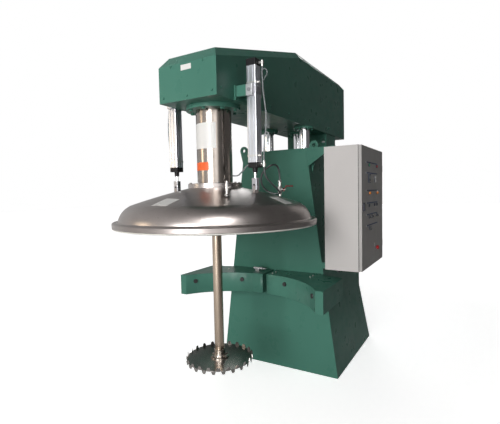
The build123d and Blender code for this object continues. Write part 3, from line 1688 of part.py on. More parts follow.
with BuildPart() as panel_instruments:
    for spot in lamps:
        with BuildSketch(facing_x(door_face - 12, spot[0], spot[1])):
            Circle(button_hole - 0.1)
        extrude(amount=12)
        with BuildSketch(facing_x(door_face, spot[0], spot[1])):
            Circle(bezel_radius)
        extrude(amount=4)
        with BuildSketch(facing_x(door_face + 4, spot[0], spot[1])):
            Circle(11.5)
        extrude(amount=12, taper=12)
    with BuildSketch(facing_x(door_face, meter_spot[0], meter_spot[1])):
        RectangleRounded(48, 72, 4)
    extrude(amount=9)
    for z in (row_knob_high - 16, row_knob_high + 14):
        with BuildSketch(facing_x(door_face, spindle_y + 1132, z)):
            RectangleRounded(26, 24, 3)
        extrude(amount=7)
panel_fittings = Compound(label="panel_fittings", children=[button_bezels.part, panel_instruments.part])

# Push buttons: caps on plungers that slide through the door
press_travel = 4.0
plunger_length = 22.0
button_cap_radius = 10.6


def push_button(name, cap_length):
    """Round push button with its plunger."""
    y, z = controls[name]
    with BuildPart() as button:
        with BuildSketch(facing_x(door_face - plunger_length, y, z)):
            Circle(7)
        extrude(amount=plunger_length - door_sheet - press_travel - 1)
        with BuildSketch(facing_x(door_face - door_sheet - press_travel - 1, y, z)):
            Circle(button_cap_radius)
        extrude(amount=door_sheet + press_travel + 1 + bezel_depth + cap_length)
        chamfer(button.faces().sort_by(Axis.X)[-1].edges(), 0.8)
    button.part.label = name
    return button.part


def selector(name):
    """Selector switch: turning body with a raised grip."""
    y, z = controls[name]
    with BuildPart() as switch:
        with BuildSketch(facing_x(door_face - plunger_length, y, z)):
            Circle(button_cap_radius)
        extrude(amount=plunger_length + bezel_depth + 2)
        with BuildSketch(facing_x(door_face + bezel_depth + 2, y, z)):
            SlotOverall(2 * button_cap_radius - 2, 7, rotation=90)
        extrude(amount=12)
    switch.part.label = name
    return switch.part


push_buttons = [
    push_button(name, 4.0)
    for name in ("green_button", "red_button", "push_button_1", "push_button_2", "push_button_3")
]
selectors = [selector(name) for name in ("selector_1", "selector_2", "selector_3")]

with BuildPart() as speed_knob:
    knob_y, knob_z = controls["speed_knob"]
    with BuildSketch(facing_x(door_face - plunger_length, knob_y, knob_z)):
        Circle(5)
    extrude(amount=plunger_length + bezel_depth + 2)
    with BuildSketch(facing_x(door_face + bezel_depth + seat_gap, knob_y, knob_z)):
        Circle(15)
        with PolarLocations(15.4, 18):
            Circle(1.3, mode=Mode.SUBTRACT)
    extrude(amount=16, taper=3)
speed_knob.part.label = "speed_knob"

with BuildPart() as stop_button:
    stop_y, stop_z = controls["stop_button"]
    with BuildSketch(facing_x(door_face - plunger_length, stop_y, stop_z)):
        Circle(button_cap_radius)
    extrude(amount=plunger_length + bezel_depth + press_travel + 3)
    with BuildSketch(Plane(origin=(0, stop_y, 0), x_dir=(1, 0, 0), z_dir=(0, -1, 0))):
        with BuildLine():
            mush = door_face + bezel_depth + press_travel + 2
            edge_low = Line((mush, stop_z), (mush, stop_z + 17))
            edge_out = Line(edge_low @ 1, (mush + 5, stop_z + 20))
            centre = (17 ** 2 - 5 ** 2 - 20 ** 2) / (2 * (17 - 5))
            dome = ThreePointArc(
                edge_out @ 1,
                (mush + centre + (17 - centre) * cos(radians(30)), stop_z + (17 - centre) * sin(radians(30))),
                (mush + 17, stop_z),
            )
            Line(dome @ 1, edge_low @ 0)
        make_face()
    revolve(axis=Axis((0, stop_y, stop_z), (1, 0, 0)))
stop_button.part.label = "stop_button"

built = [
    rear_cover, tank_cradle, tank_pads, tank_sensor, cabinet_body, electrical_panel,
    cable_glands, ram_barrel, ram_rod, guide_bushings, guide_posts, bridge_hood, belly_plate,
    quill_tube, spindle_bearings, spindle_shaft, drive_belts, motor_bracket, motor_body,
    mixing_blade, blade_hub, hub_bolts, lid_shell, lid_gasket, neck_flange, neck_seal,
    cylinder_barrels, cylinder_caps, cylinder_rods, trunnion_brackets, trunnion_blocks,
    trunnion_rings, air_fittings, lid_nozzles, valve_lever, column_bolts, power_pack,
    cabinet_door, door_latch, speed_knob, stop_button,
]
pieces = [item.part for item in built] + push_buttons + selectors + [
    column_frame, belly_flanges, driven_sheave, motor_rotor, rod_clevises, neck_bolts, air_hose, air_tubes,
    cabinet_brackets, bridge_fasteners, panel_fittings,
]
for piece in pieces:
    export_step(piece, f"parts/{piece.label}.step")
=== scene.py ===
import json
import math

import bmesh
import bpy
from mathutils import Matrix, Vector
from mathutils.bvhtree import BVHTree


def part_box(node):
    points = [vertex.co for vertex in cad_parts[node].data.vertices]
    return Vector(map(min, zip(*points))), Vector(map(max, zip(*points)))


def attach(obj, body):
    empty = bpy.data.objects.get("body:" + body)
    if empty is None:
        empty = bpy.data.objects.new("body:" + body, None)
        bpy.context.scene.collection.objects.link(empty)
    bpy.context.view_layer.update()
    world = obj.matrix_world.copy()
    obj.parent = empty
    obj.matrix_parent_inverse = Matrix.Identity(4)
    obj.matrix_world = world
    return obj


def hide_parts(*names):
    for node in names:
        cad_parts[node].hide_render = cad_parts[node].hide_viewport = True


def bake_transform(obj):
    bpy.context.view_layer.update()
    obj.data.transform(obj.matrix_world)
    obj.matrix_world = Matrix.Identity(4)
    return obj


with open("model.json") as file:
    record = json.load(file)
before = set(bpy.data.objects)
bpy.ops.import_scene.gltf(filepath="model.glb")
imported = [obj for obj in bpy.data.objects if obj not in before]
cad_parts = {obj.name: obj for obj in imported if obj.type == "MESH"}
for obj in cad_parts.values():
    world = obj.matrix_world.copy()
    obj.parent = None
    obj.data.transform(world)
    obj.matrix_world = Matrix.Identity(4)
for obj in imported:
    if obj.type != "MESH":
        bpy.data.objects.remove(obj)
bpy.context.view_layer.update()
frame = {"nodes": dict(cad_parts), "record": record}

# Places taken from the frame, in metres. The spindle stands at the front, on the -Y side.
SPINDLE_Y = -1.554
HOOD_HALF_WIDTH = 0.246
HOOD_FRONT_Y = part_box("bridge_hood")[0][1]
HOOD_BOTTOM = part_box("bridge_hood")[0][2]
QUILL_RADIUS = 0.131
DOOR_FACE = 0.907

# Camera: a standing person's view, in front of the machine and to its right
CAMERA_SPOT = (1.6836, -3.8979, 1.7126)
CAMERA_YAW = -0.5347
CAMERA_PITCH = -0.0531
CAMERA_ROLL = -0.0213
FOCAL_PIXELS = 384.0
PHOTO_WIDTH = 500
SENSOR = 36.0


def add_camera():
    """Camera at the photograph's angle."""
    forward = Vector((
        math.sin(CAMERA_YAW) * math.cos(CAMERA_PITCH),
        math.cos(CAMERA_YAW) * math.cos(CAMERA_PITCH),
        math.sin(CAMERA_PITCH),
    ))
    level_right = Vector((math.cos(CAMERA_YAW), -math.sin(CAMERA_YAW), 0))
    level_up = level_right.cross(forward)
    right = level_right * math.cos(CAMERA_ROLL) + level_up * math.sin(CAMERA_ROLL)
    up = level_up * math.cos(CAMERA_ROLL) - level_right * math.sin(CAMERA_ROLL)
    data = bpy.data.cameras.new("camera")
    data.lens = FOCAL_PIXELS / PHOTO_WIDTH * SENSOR
    data.sensor_width = SENSOR
    data.clip_end = 60
    camera = bpy.data.objects.new("camera", data)
    turn = Matrix((right, up, -forward)).transposed()
    camera.matrix_world = Matrix.Translation(CAMERA_SPOT) @ turn.to_4x4()
    bpy.context.collection.objects.link(camera)
    bpy.context.scene.camera = camera


add_camera()

# The looped hose follows the same route as in the part's source
HOSE_RADIUS = 0.0065
HOSE_ROUTE = [
    (0.4195, -1.560, 1.881),
    (0.4195, -1.560, 1.819),
    (0.4515, -1.492, 1.756),
    (0.4620, -1.416, 1.712),
    (0.4360, -1.342, 1.690),
    (0.3520, -1.368, 1.698),
    (0.3100, -1.414, 1.762),
    (0.3240, -1.428, 1.850),
    (0.3950, -1.386, 1.914),
    (0.4120, -1.304, 1.890),
    (0.4120, -1.304, 1.792),
]


def link(piece, body, material=None):
    """Adds a piece to the scene, riding on a body."""
    bpy.context.collection.objects.link(piece)
    if material:
        piece.data.materials.append(material)
    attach(piece, body)
    return piece


def tube_curve(name, route, radius):
    """Smooth round tube along a route."""
    curve = bpy.data.curves.new(name, "CURVE")
    curve.dimensions = "3D"
    curve.bevel_depth = radius
    curve.bevel_resolution = 5
    curve.resolution_u = 10
    curve.use_fill_caps = True
    spline = curve.splines.new("NURBS")
    spline.points.add(len(route) - 1)
    for point, spot in zip(spline.points, route):
        point.co = (*spot, 1)
    spline.order_u = 3
    spline.use_endpoint_u = True
    return bpy.data.objects.new(name, curve)


def as_mesh(curve):
    """Mesh object with the shape of a curve object."""
    bpy.context.collection.objects.link(curve)
    bpy.context.view_layer.update()
    mesh = bpy.data.meshes.new_from_object(curve.evaluated_get(bpy.context.evaluated_depsgraph_get()))
    for face in mesh.polygons:
        face.use_smooth = True
    piece = bpy.data.objects.new(curve.name, mesh)
    name = curve.name
    bpy.data.objects.remove(curve)
    piece.name = name
    return piece


def mesh_piece(name, shape, material, body, smooth=False):
    """Turns a bmesh into a piece that rides on a body."""
    mesh = bpy.data.meshes.new(name)
    bmesh.ops.recalc_face_normals(shape, faces=shape.faces)
    for face in shape.faces:
        face.smooth = smooth
    shape.to_mesh(mesh)
    shape.free()
    return link(bpy.data.objects.new(name, mesh), body, material)


def rounded_outline(width, height, corner, steps=4):
    """Points of a rounded rectangle, counterclockwise."""
    points = []
    for sign_u, sign_v, first in ((1, 1, 0), (-1, 1, 90), (-1, -1, 180), (1, -1, 270)):
        for step in range(steps + 1):
            angle = math.radians(first + 90 * step / steps)
            points.append((
                sign_u * (width / 2 - corner) + corner * math.cos(angle),
                sign_v * (height / 2 - corner) + corner * math.sin(angle),
            ))
    return points


def rounded_plate(shape, centre, across, up, size, depth, corner=0.0015, lip=0.0003):
    """Rounded plate with a softened front edge, standing on a face."""
    centre, across, up = Vector(centre), Vector(across).normalized(), Vector(up).normalized()
    out = across.cross(up)
    rings = []
    for inset, rise in ((0, -0.0002), (0, depth - lip), (lip, depth)):
        outline = rounded_outline(size[0] - 2 * inset, size[1] - 2 * inset, corner)
        rings.append([shape.verts.new(centre + across * u + up * v + out * rise) for u, v in outline])
    for low, high in zip(rings, rings[1:]):
        for k in range(len(low)):
            following = (k + 1) % len(low)
            shape.faces.new((low[k], low[following], high[following], high[k]))
    shape.faces.new(rings[-1])
    shape.faces.new(list(reversed(rings[0])))


def turned(shape, centre, axis, profile, segments=32):
    """Round form turned about an axis, from (radius, height) points."""
    axis = Vector(axis).normalized()
    side = axis.orthogonal().normalized()
    other = axis.cross(side)
    rings = []
    for radius, rise in profile:
        ring = []
        for k in range(segments):
            angle = 2 * math.pi * k / segments
            way = side * math.cos(angle) + other * math.sin(angle)
            ring.append(shape.verts.new(Vector(centre) + axis * rise + way * max(radius, 0.00005)))
        rings.append(ring)
    for low, high in zip(rings, rings[1:]):
        for k in range(segments):
            following = (k + 1) % segments
            shape.faces.new((low[k], low[following], high[following], high[k]))
    shape.faces.new(rings[-1])
    shape.faces.new(list(reversed(rings[0])))


def wrapped(shape, radius, start, end, low, high, thickness=0.0006, steps=20):
    """Thin sheet wrapped round the spindle's axis, from start to end in degrees."""
    rows = []
    for distance in (radius - 0.0002, radius + thickness):
        for height in (low, high):
            row = []
            for step in range(steps + 1):
                angle = math.radians(start + (end - start) * step / steps)
                row.append(shape.verts.new((distance * math.cos(angle), SPINDLE_Y + distance * math.sin(angle), height)))
            rows.append(row)
    inner_low, inner_high, outer_low, outer_high = rows
    for k in range(steps):
        shape.faces.new((outer_low[k], outer_low[k + 1], outer_high[k + 1], outer_high[k]))
        shape.faces.new((inner_low[k], inner_high[k], inner_high[k + 1], inner_low[k + 1]))
        shape.faces.new((outer_high[k], outer_high[k + 1], inner_high[k + 1], inner_high[k]))
        shape.faces.new((outer_low[k], inner_low[k], inner_low[k + 1], outer_low[k + 1]))
    for k in (0, steps):
        shape.faces.new((outer_low[k], outer_high[k], inner_high[k], inner_low[k]))


def surface_of(name):
    """Lookup of a CAD node's surface."""
    item = frame["nodes"][name]
    corners = [item.matrix_world @ vertex.co for vertex in item.data.vertices]
    return BVHTree.FromPolygons(corners, [tuple(face.vertices) for face in item.data.polygons])


def laid(shape, surface, corners, thickness=0.0008, steps=8):
    """Thin quadrilateral sheet laid on a surface from above."""
    tops, bottoms = [], []
    for i in range(steps + 1):
        for j in range(steps + 1):
            u, v = i / steps, j / steps
            x, y = (
                (corners[0][k] * (1 - u) + corners[1][k] * u) * (1 - v) + (corners[3][k] * (1 - u) + corners[2][k] * u) * v
                for k in (0, 1)
            )
            spot, normal, _, _ = surface.ray_cast(Vector((x, y, 1.9)), Vector((0, 0, -1)))
            tops.append(shape.verts.new(spot + normal * thickness))
            bottoms.append(shape.verts.new(spot - normal * 0.0004))
    row = steps + 1
    edge = (
        [(0, j) for j in range(steps)] + [(i, steps) for i in range(steps)]
        + [(steps, steps - j) for j in range(steps)] + [(steps - i, 0) for i in range(steps)]
    )
    for i in range(steps):
        for j in range(steps):
            cell = (i * row + j, (i + 1) * row + j, (i + 1) * row + j + 1, i * row + j + 1)
            shape.faces.new([tops[k] for k in cell])
            shape.faces.new([bottoms[k] for k in reversed(cell)])
    for (i, j), (k, m) in zip(edge, edge[1:] + edge[:1]):
        first, second = i * row + j, k * row + m
        shape.faces.new((tops[first], tops[second], bottoms[second], bottoms[first]))


# Materials
def new_material(name):
    """Empty node material and its shader."""
    material = bpy.data.materials.new(name)
    material.use_nodes = True
    return material, material.node_tree, material.node_tree.nodes["Principled BSDF"]


def node(tree, kind, **values):
    """Adds a node and sets its inputs or properties by name."""
    item = tree.nodes.new(kind)
    for key, value in values.items():
        if key in item.inputs:
            item.inputs[key].default_value = value
        else:
            setattr(item, key, value)
    return item


def coordinates(tree, scale=(1, 1, 1)):
    """Object coordinates, stretched."""
    place = node(tree, "ShaderNodeTexCoord")
    mapping = node(tree, "ShaderNodeMapping")
    mapping.inputs["Scale"].default_value = scale
    tree.links.new(place.outputs["Object"], mapping.inputs["Vector"])
    return mapping.outputs["Vector"]


def noise(tree, vector, scale, detail=3.0, rough=0.5):
    """Noise texture's value."""
    item = node(tree, "ShaderNodeTexNoise", Scale=scale, Detail=detail, Roughness=rough)
    tree.links.new(vector, item.inputs["Vector"])
    return item.outputs["Fac"]


def ramp(tree, value, stops):
    """Colour ramp over a value, from (place, colour) stops."""
    item = node(tree, "ShaderNodeValToRGB")
    elements = item.color_ramp.elements
    while len(elements) < len(stops):
        elements.new(0.5)
    for element, (place, colour) in zip(elements, stops):
        element.position = place
        element.color = (*colour, 1)
    tree.links.new(value, item.inputs["Fac"])
    return item.outputs["Color"]


def spread(tree, value, low, high, start=0.3, end=0.7):
    """Maps a value from start..end to low..high."""
    item = node(tree, "ShaderNodeMapRange")
    item.inputs["From Min"].default_value = start
    item.inputs["From Max"].default_value = end
    item.inputs["To Min"].default_value = low
    item.inputs["To Max"].default_value = high
    tree.links.new(value, item.inputs["Value"])
    return item.outputs["Result"]


def bump(tree, shader, height, strength, distance=0.001):
    """Bump from a height value."""
    item = node(tree, "ShaderNodeBump", Strength=strength, Distance=distance)
    tree.links.new(height, item.inputs["Height"])
    tree.links.new(item.outputs["Normal"], shader.inputs["Normal"])


def shade(colour, factor):
    """Colour made lighter or darker."""
    return tuple(min(1.0, channel * factor) for channel in colour)


def paint(name, colour, rough=0.32, peel=30.0, coat=0.0, dirt=0.92):
    """Enamel paint: slight orange peel, faint dust and rubbed patches."""
    material, tree, shader = new_material(name)
    vector = coordinates(tree)
    cloud = noise(tree, vector, 1.6, 3.0, 0.5)
    fine = noise(tree, vector, peel * 4, 2.0)
    colours = ramp(tree, cloud, [(0.3, shade(colour, dirt)), (0.5, colour), (0.75, shade(colour, 1.06))])
    tree.links.new(colours, shader.inputs["Base Color"])
    tree.links.new(spread(tree, noise(tree, vector, 9.0, 5.0), rough - 0.05, rough + 0.12), shader.inputs["Roughness"])
    shader.inputs["Coat Weight"].default_value = coat
    shader.inputs["Coat Roughness"].default_value = 0.12
    shader.inputs["Specular IOR Level"].default_value = 0.15
    bump(tree, shader, fine, 0.012, 0.0003)
    return material


def brushed(name, colour, rough=0.28, stretch=(1, 1, 60), grain=40.0, strength=0.10):
    """Brushed metal with grain along the flattened axis."""
    material, tree, shader = new_material(name)
    vector = coordinates(tree, stretch)
    grainy = noise(tree, vector, grain, 6.0, 0.65)
    wide = noise(tree, coordinates(tree), 3.0, 4.0)
    tree.links.new(
        ramp(tree, wide, [(0.3, shade(colour, 0.88)), (0.7, shade(colour, 1.06))]), shader.inputs["Base Color"]
    )
    shader.inputs["Metallic"].default_value = 1.0
    tree.links.new(spread(tree, grainy, rough - 0.04, rough + 0.07), shader.inputs["Roughness"])
    bump(tree, shader, grainy, strength, 0.0003)
    return material


def spun(name, colour, rough=0.26):
    """Sheet metal polished round the spindle, with faint rings and heat-tinted clouds."""
    material, tree, shader = new_material(name)
    place = node(tree, "ShaderNodeTexCoord")
    middle = node(tree, "ShaderNodeVectorMath", operation="SUBTRACT")
    middle.inputs[1].default_value = (0, SPINDLE_Y, 0)
    tree.links.new(place.outputs["Object"], middle.inputs[0])
    split = node(tree, "ShaderNodeSeparateXYZ")
    tree.links.new(middle.outputs["Vector"], split.inputs["Vector"])
    flat = node(tree, "ShaderNodeCombineXYZ")
    tree.links.new(split.outputs["X"], flat.inputs["X"])
    tree.links.new(split.outputs["Y"], flat.inputs["Y"])
    radius = node(tree, "ShaderNodeVectorMath", operation="LENGTH")
    tree.links.new(flat.outputs["Vector"], radius.inputs[0])
    angle = node(tree, "ShaderNodeMath", operation="ARCTAN2")
    tree.links.new(split.outputs["Y"], angle.inputs[0])
    tree.links.new(split.outputs["X"], angle.inputs[1])
    rings = node(tree, "ShaderNodeCombineXYZ")
    tree.links.new(radius.outputs["Value"], rings.inputs["X"])
    slow = node(tree, "ShaderNodeMath", operation="MULTIPLY")
    slow.inputs[1].default_value = 0.03
    tree.links.new(angle.outputs["Value"], slow.inputs[0])
    tree.links.new(slow.outputs["Value"], rings.inputs["Y"])
    tree.links.new(split.outputs["Z"], rings.inputs["Z"])
    grainy = noise(tree, rings.outputs["Vector"], 260.0, 5.0, 0.7)
    cloud = noise(tree, place.outputs["Object"], 4.5, 5.0, 0.6)
    tree.links.new(
        ramp(tree, cloud, [(0.3, shade(colour, 0.86)), (0.55, colour), (0.8, shade(colour, 1.05))]),
        shader.inputs["Base Color"],
    )
    shader.inputs["Metallic"].default_value = 1.0
    tree.links.new(spread(tree, grainy, rough - 0.03, rough + 0.06), shader.inputs["Roughness"])
    bump(tree, shader, grainy, 0.025, 0.0002)
    return material


def plastic(name, colour, rough=0.35, grain=900.0, strength=0.08, cloudy=0.12):
    """Moulded plastic or rubber with a fine texture."""
    material, tree, shader = new_material(name)
    vector = coordinates(tree)
    cloud = noise(tree, vector, 14.0, 3.0)
    tree.links.new(
        ramp(tree, cloud, [(0.3, shade(colour, 1 - cloudy)), (0.7, shade(colour, 1 + cloudy / 2))]),
        shader.inputs["Base Color"],
    )
    tree.links.new(spread(tree, noise(tree, vector, 40.0), rough - 0.05, rough + 0.08), shader.inputs["Roughness"])
    bump(tree, shader, noise(tree, vector, grain, 2.0), strength, 0.0003)
    return material


def clear_plastic(name, colour):
    """Milky clear hose."""
    material = plastic(name, colour, 0.18)
    shader = material.node_tree.nodes["Principled BSDF"]
    shader.inputs["Transmission Weight"].default_value = 0.55
    shader.inputs["IOR"].default_value = 1.42
    return material


def glowing(name, colour):
    """Lamp lens that glows a little."""
    material = plastic(name, colour, 0.2)
    shader = material.node_tree.nodes["Principled BSDF"]
    shader.inputs["Emission Color"].default_value = (*colour, 1)
    shader.inputs["Emission Strength"].default_value = 0.12
    return material


GREEN = (0.060, 0.180, 0.136)
looks = {
    "green_paint": paint("green_enamel", GREEN, 0.30),
    "grey_paint": paint("grey_enamel", (0.54, 0.515, 0.50), 0.40, 40.0, 0.0, 0.95),
    "stainless": spun("stainless", (0.34, 0.305, 0.29), 0.295),
    "bright_steel": brushed("chromed_steel", (0.72, 0.73, 0.75), 0.12, (1, 1, 12), 30.0, 0.03),
    "dark_steel": brushed("machined_steel", (0.33, 0.33, 0.35), 0.36, (1, 1, 40), 50.0),
    "aluminium": brushed("anodised_aluminium", (0.55, 0.56, 0.59), 0.29, (90, 90, 1.2), 30.0, 0.01),
    "motor_paint": paint("motor_enamel", (0.13, 0.12, 0.17), 0.4),
    "zinc": brushed("zinc_plate", (0.58, 0.57, 0.55), 0.30, (1, 1, 1), 90.0, 0.02),
    "belt_rubber": plastic("belt_rubber", (0.018, 0.018, 0.018), 0.7, 300.0, 0.3),
    "black_rubber": plastic("pad_rubber", (0.02, 0.02, 0.02), 0.65, 300.0, 0.25),
    "seal_white": plastic("white_seal", (0.72, 0.71, 0.66), 0.5, 200.0, 0.15),
    "clear_hose": clear_plastic("clear_hose", (0.36, 0.38, 0.39)),
    "dark_hose": plastic("grey_hose", (0.045, 0.055, 0.055), 0.32, 500.0, 0.1),
    "black_metal": paint("black_anodised", (0.012, 0.012, 0.013), 0.35, 90.0, 0.0),
    "black_plastic": plastic("black_plastic", (0.018, 0.018, 0.020), 0.4),
    "green_plastic": plastic("green_button_plastic", (0.02, 0.35, 0.12), 0.25),
    "red_plastic": plastic("red_button_plastic", (0.55, 0.02, 0.02), 0.25),
    "brass": brushed("bronze", (0.60, 0.42, 0.18), 0.3, (1, 1, 30), 40.0),
    "lever_red": plastic("dipped_red", (0.30, 0.035, 0.025), 0.3),
}
own_looks = {
    "quill_tube": spun("quill_stainless", (0.33, 0.29, 0.26), 0.20),
    "spindle_shaft": brushed("ground_shaft", (0.44, 0.355, 0.28), 0.14, (1, 1, 60), 30.0, 0.02),
    "blade_hub": spun("ground_hub", (0.38, 0.34, 0.30), 0.2),
    "mixing_blade": spun("blade_steel", (0.31, 0.295, 0.28), 0.22),
    "neck_flange": spun("flange_stainless", (0.42, 0.38, 0.36), 0.26),
    "lid_nozzles": brushed("fitting_steel", (0.60, 0.58, 0.56), 0.22, (1, 1, 1), 60.0, 0.02),
    "neck_bolts": brushed("bolt_steel", (0.55, 0.54, 0.53), 0.25, (1, 1, 1), 60.0, 0.02),
    "cylinder_rods": brushed("chromed_rod", (0.75, 0.75, 0.76), 0.1, (1, 1, 8), 30.0, 0.02),
    "trunnion_blocks": brushed("block_aluminium", (0.60, 0.60, 0.61), 0.34, (1, 1, 1), 90.0, 0.05),
    # The door is the body's grey enamel, made darker here as painted shade
    "cabinet_door": paint("door_enamel_painted_shade", (0.42, 0.405, 0.39), 0.45, 40.0),
    "electrical_panel": brushed("galvanised_panel", (0.55, 0.56, 0.57), 0.4, (1, 1, 1), 12.0, 0.05),
    "power_pack": paint("pump_enamel", (0.16, 0.17, 0.19), 0.4),
    "door_latch": paint("latch_enamel", (0.055, 0.055, 0.07), 0.45),
    "panel_fittings": paint("bezel_enamel", (0.05, 0.06, 0.09), 0.35),
}
for entry in frame["record"]["subparts"]:
    item = frame["nodes"][entry["node"]]
    item.data.materials.clear()
    item.data.materials.append(own_looks.get(entry["node"], looks[entry["material_slot"]]))


def soften(name, width, segments=2):
    """Rounds a CAD node's sharp edges a little, so that they catch the light."""
    item = frame["nodes"][name]
    weld = item.modifiers.new("weld", "WELD")
    weld.merge_threshold = 0.00002
    bevel = item.modifiers.new("bevel", "BEVEL")
    bevel.width = width
    bevel.segments = segments
    bevel.limit_method = "ANGLE"
    bevel.angle_limit = math.radians(28)
    bevel.harden_normals = True


for name, width in (
    ("bridge_hood", 0.0035), ("column_frame", 0.003), ("tank_cradle", 0.003), ("cabinet_body", 0.002),
    ("cabinet_door", 0.0025), ("trunnion_brackets", 0.0015), ("belly_plate", 0.0015), ("trunnion_blocks", 0.0012),
):
    soften(name, width)

hose = as_mesh(tube_curve("lid_air_hose", HOSE_ROUTE, HOSE_RADIUS))
hose.data.materials.append(looks["dark_hose"])
bpy.context.collection.objects.link(hose)
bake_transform(hose)
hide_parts("air_hose")


# Blank plates and labels
white_card = plastic("white_vinyl", (0.72, 0.71, 0.69), 0.4, 700.0, 0.02, 0.03)
orange_card = plastic("orange_vinyl", (0.78, 0.12, 0.02), 0.45, 700.0, 0.02, 0.05)
dark_card = plastic("engraved_navy", (0.012, 0.028, 0.080), 0.45, 700.0, 0.05)
lens_orange = glowing("orange_lens", (0.62, 0.20, 0.03))
lens_black = plastic("meter_black", (0.012, 0.012, 0.014), 0.22)
cap_white = plastic("white_cap", (0.75, 0.74, 0.72), 0.3)

shape = bmesh.new()
rounded_plate(shape, (-0.001, HOOD_FRONT_Y, 2.555), (1, 0, 0), (0, 0, 1), (0.088, 0.036), 0.001)
mesh_piece("hood_blank_plate", shape, white_card, "bridge")

shape = bmesh.new()
wrapped(shape, QUILL_RADIUS, -139, -49, 2.027, 2.209)
mesh_piece("quill_blank_label", shape, white_card, "bridge")

shape = bmesh.new()
wrapped(shape, QUILL_RADIUS, -155, -73, 1.872, 1.930)
mesh_piece("quill_orange_band", shape, orange_card, "bridge")

lid_surface = surface_of("lid_shell")
shape = bmesh.new()
laid(shape, lid_surface, [(-0.076, -2.138), (0.056, -2.150), (0.060, -2.028), (-0.070, -2.006)])
laid(shape, lid_surface, [(0.473, -1.588), (0.477, -1.484), (0.620, -1.540), (0.616, -1.640)])
mesh_piece("lid_blank_plates", shape, white_card, "lid")

# Legend strips with a white end tab over each row of controls
shape = bmesh.new()
tabs = bmesh.new()
for height in (1.9330, 1.8460, 1.7015, 1.5975, 1.5025, 1.4120):
    first, last = 0.838, 1.225
    rounded_plate(
        shape, (DOOR_FACE, SPINDLE_Y + (first + last) / 2, height), (0, 1, 0), (0, 0, 1), (last - first, 0.010), 0.0012
    )
    rounded_plate(tabs, (DOOR_FACE, SPINDLE_Y + first - 0.012, height), (0, 1, 0), (0, 0, 1), (0.016, 0.014), 0.0012)
rounded_plate(tabs, (DOOR_FACE, SPINDLE_Y + 1.110, 1.222), (0, 1, 0), (0, 0, 1), (0.022, 0.034), 0.0012)
mesh_piece("legend_strips", shape, dark_card, "door")
mesh_piece("legend_tabs", tabs, white_card, "door")

# A dark strip down the cabinet's front stands for the door's seal and for painted shade in the gap beside the door
body_low, body_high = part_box("cabinet_body")
door_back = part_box("cabinet_door")[0][0]
SEAL_SHADE_WIDTH = 0.004
shape = bmesh.new()
rounded_plate(
    shape, (door_back - 0.001 - SEAL_SHADE_WIDTH / 2, body_low[1], (body_low[2] + body_high[2]) / 2), (1, 0, 0), (0, 0, 1),
    (SEAL_SHADE_WIDTH, body_high[2] - body_low[2] - 0.004), 0.0004, 0.0004, 0.0001
)
mesh_piece("door_seal_and_gap_shade", shape, lens_black, "column")

# Lamp lenses, meter face and white caps over the plain instruments
shape = bmesh.new()
for spot in (0.918, 1.198):
    turned(
        shape, (DOOR_FACE + 0.0045, SPINDLE_Y + spot, 1.680), (1, 0, 0),
        [(0.0118, 0), (0.0118, 0.007), (0.0112, 0.0105), (0.0092, 0.0130), (0.0055, 0.0146), (0, 0.0152)],
    )
mesh_piece("orange_lenses", shape, lens_orange, "door", True)
shape = bmesh.new()
rounded_plate(
    shape, (DOOR_FACE + 0.009, SPINDLE_Y + 0.918, 1.800), (0, 1, 0), (0, 0, 1), (0.0484, 0.0724), 0.0018, 0.004, 0.0008
)
mesh_piece("meter_frame", shape, lens_black, "door")
shape = bmesh.new()
rounded_plate(
    shape, (DOOR_FACE + 0.0108, SPINDLE_Y + 0.918, 1.811), (0, 1, 0), (0, 0, 1), (0.040, 0.036), 0.0006, 0.002, 0.0002
)
mesh_piece("meter_face", shape, plastic("meter_dial", (0.035, 0.04, 0.05), 0.3), "door")
shape = bmesh.new()
dial_centre = Vector((DOOR_FACE + 0.0114, SPINDLE_Y + 0.918, 1.797))
for step in range(11):
    angle = math.radians(150 - 12 * step)
    way = Vector((0, math.cos(angle), math.sin(angle)))
    rounded_plate(
        shape, dial_centre + way * 0.021, Vector((0, way.z, -way.y)), way, (0.0007, 0.004 if step % 5 else 0.006),
        0.0003, 0.0003, 0.0001
    )
way = Vector((0, math.cos(math.radians(118)), math.sin(math.radians(118))))
rounded_plate(shape, dial_centre + way * 0.010, Vector((0, way.z, -way.y)), way, (0.0009, 0.020), 0.0006, 0.0003, 0.0002)
mesh_piece("meter_scale", shape, cap_white, "door")
shape = bmesh.new()
for height in (1.784, 1.814):
    rounded_plate(
        shape, (DOOR_FACE + 0.0068, SPINDLE_Y + 1.132, height), (0, 1, 0), (0, 0, 1), (0.0264, 0.0244), 0.0032,
        0.003, 0.001
    )
mesh_piece("white_caps", shape, cap_white, "door")

# White index lines on the selector grips and the speed knob
for name, spot, height, reach, depth in (
    ("selector_1", 0.918, 1.481, 0.0075, 0.019), ("selector_2", 1.020, 1.481, 0.0075, 0.019),
    ("selector_3", 1.198, 1.481, 0.0075, 0.019), ("speed_knob", 0.918, 1.387, 0.011, 0.0213),
):
    shape = bmesh.new()
    rounded_plate(
        shape, (DOOR_FACE + depth, SPINDLE_Y + spot, height + reach * 0.45), (0, 1, 0), (0, 0, 1), (0.0016, reach),
        0.0004, 0.0006, 0.0001
    )
    mesh_piece(name + "_index", shape, cap_white, name)

# Small loop of clear tube between the fittings at the top of the right cylinder
loop = as_mesh(tube_curve(
    "cylinder_tube_loop",
    [
        (0.436, -1.572, 2.462), (0.444, -1.572, 2.480), (0.462, -1.574, 2.496), (0.466, -1.576, 2.520),
        (0.448, -1.578, 2.540), (0.426, -1.577, 2.530), (0.420, -1.575, 2.506), (0.430, -1.574, 2.484),
        (0.424, -1.573, 2.466),
    ],
    0.003,
))
link(loop, "bridge", looks["clear_hose"])


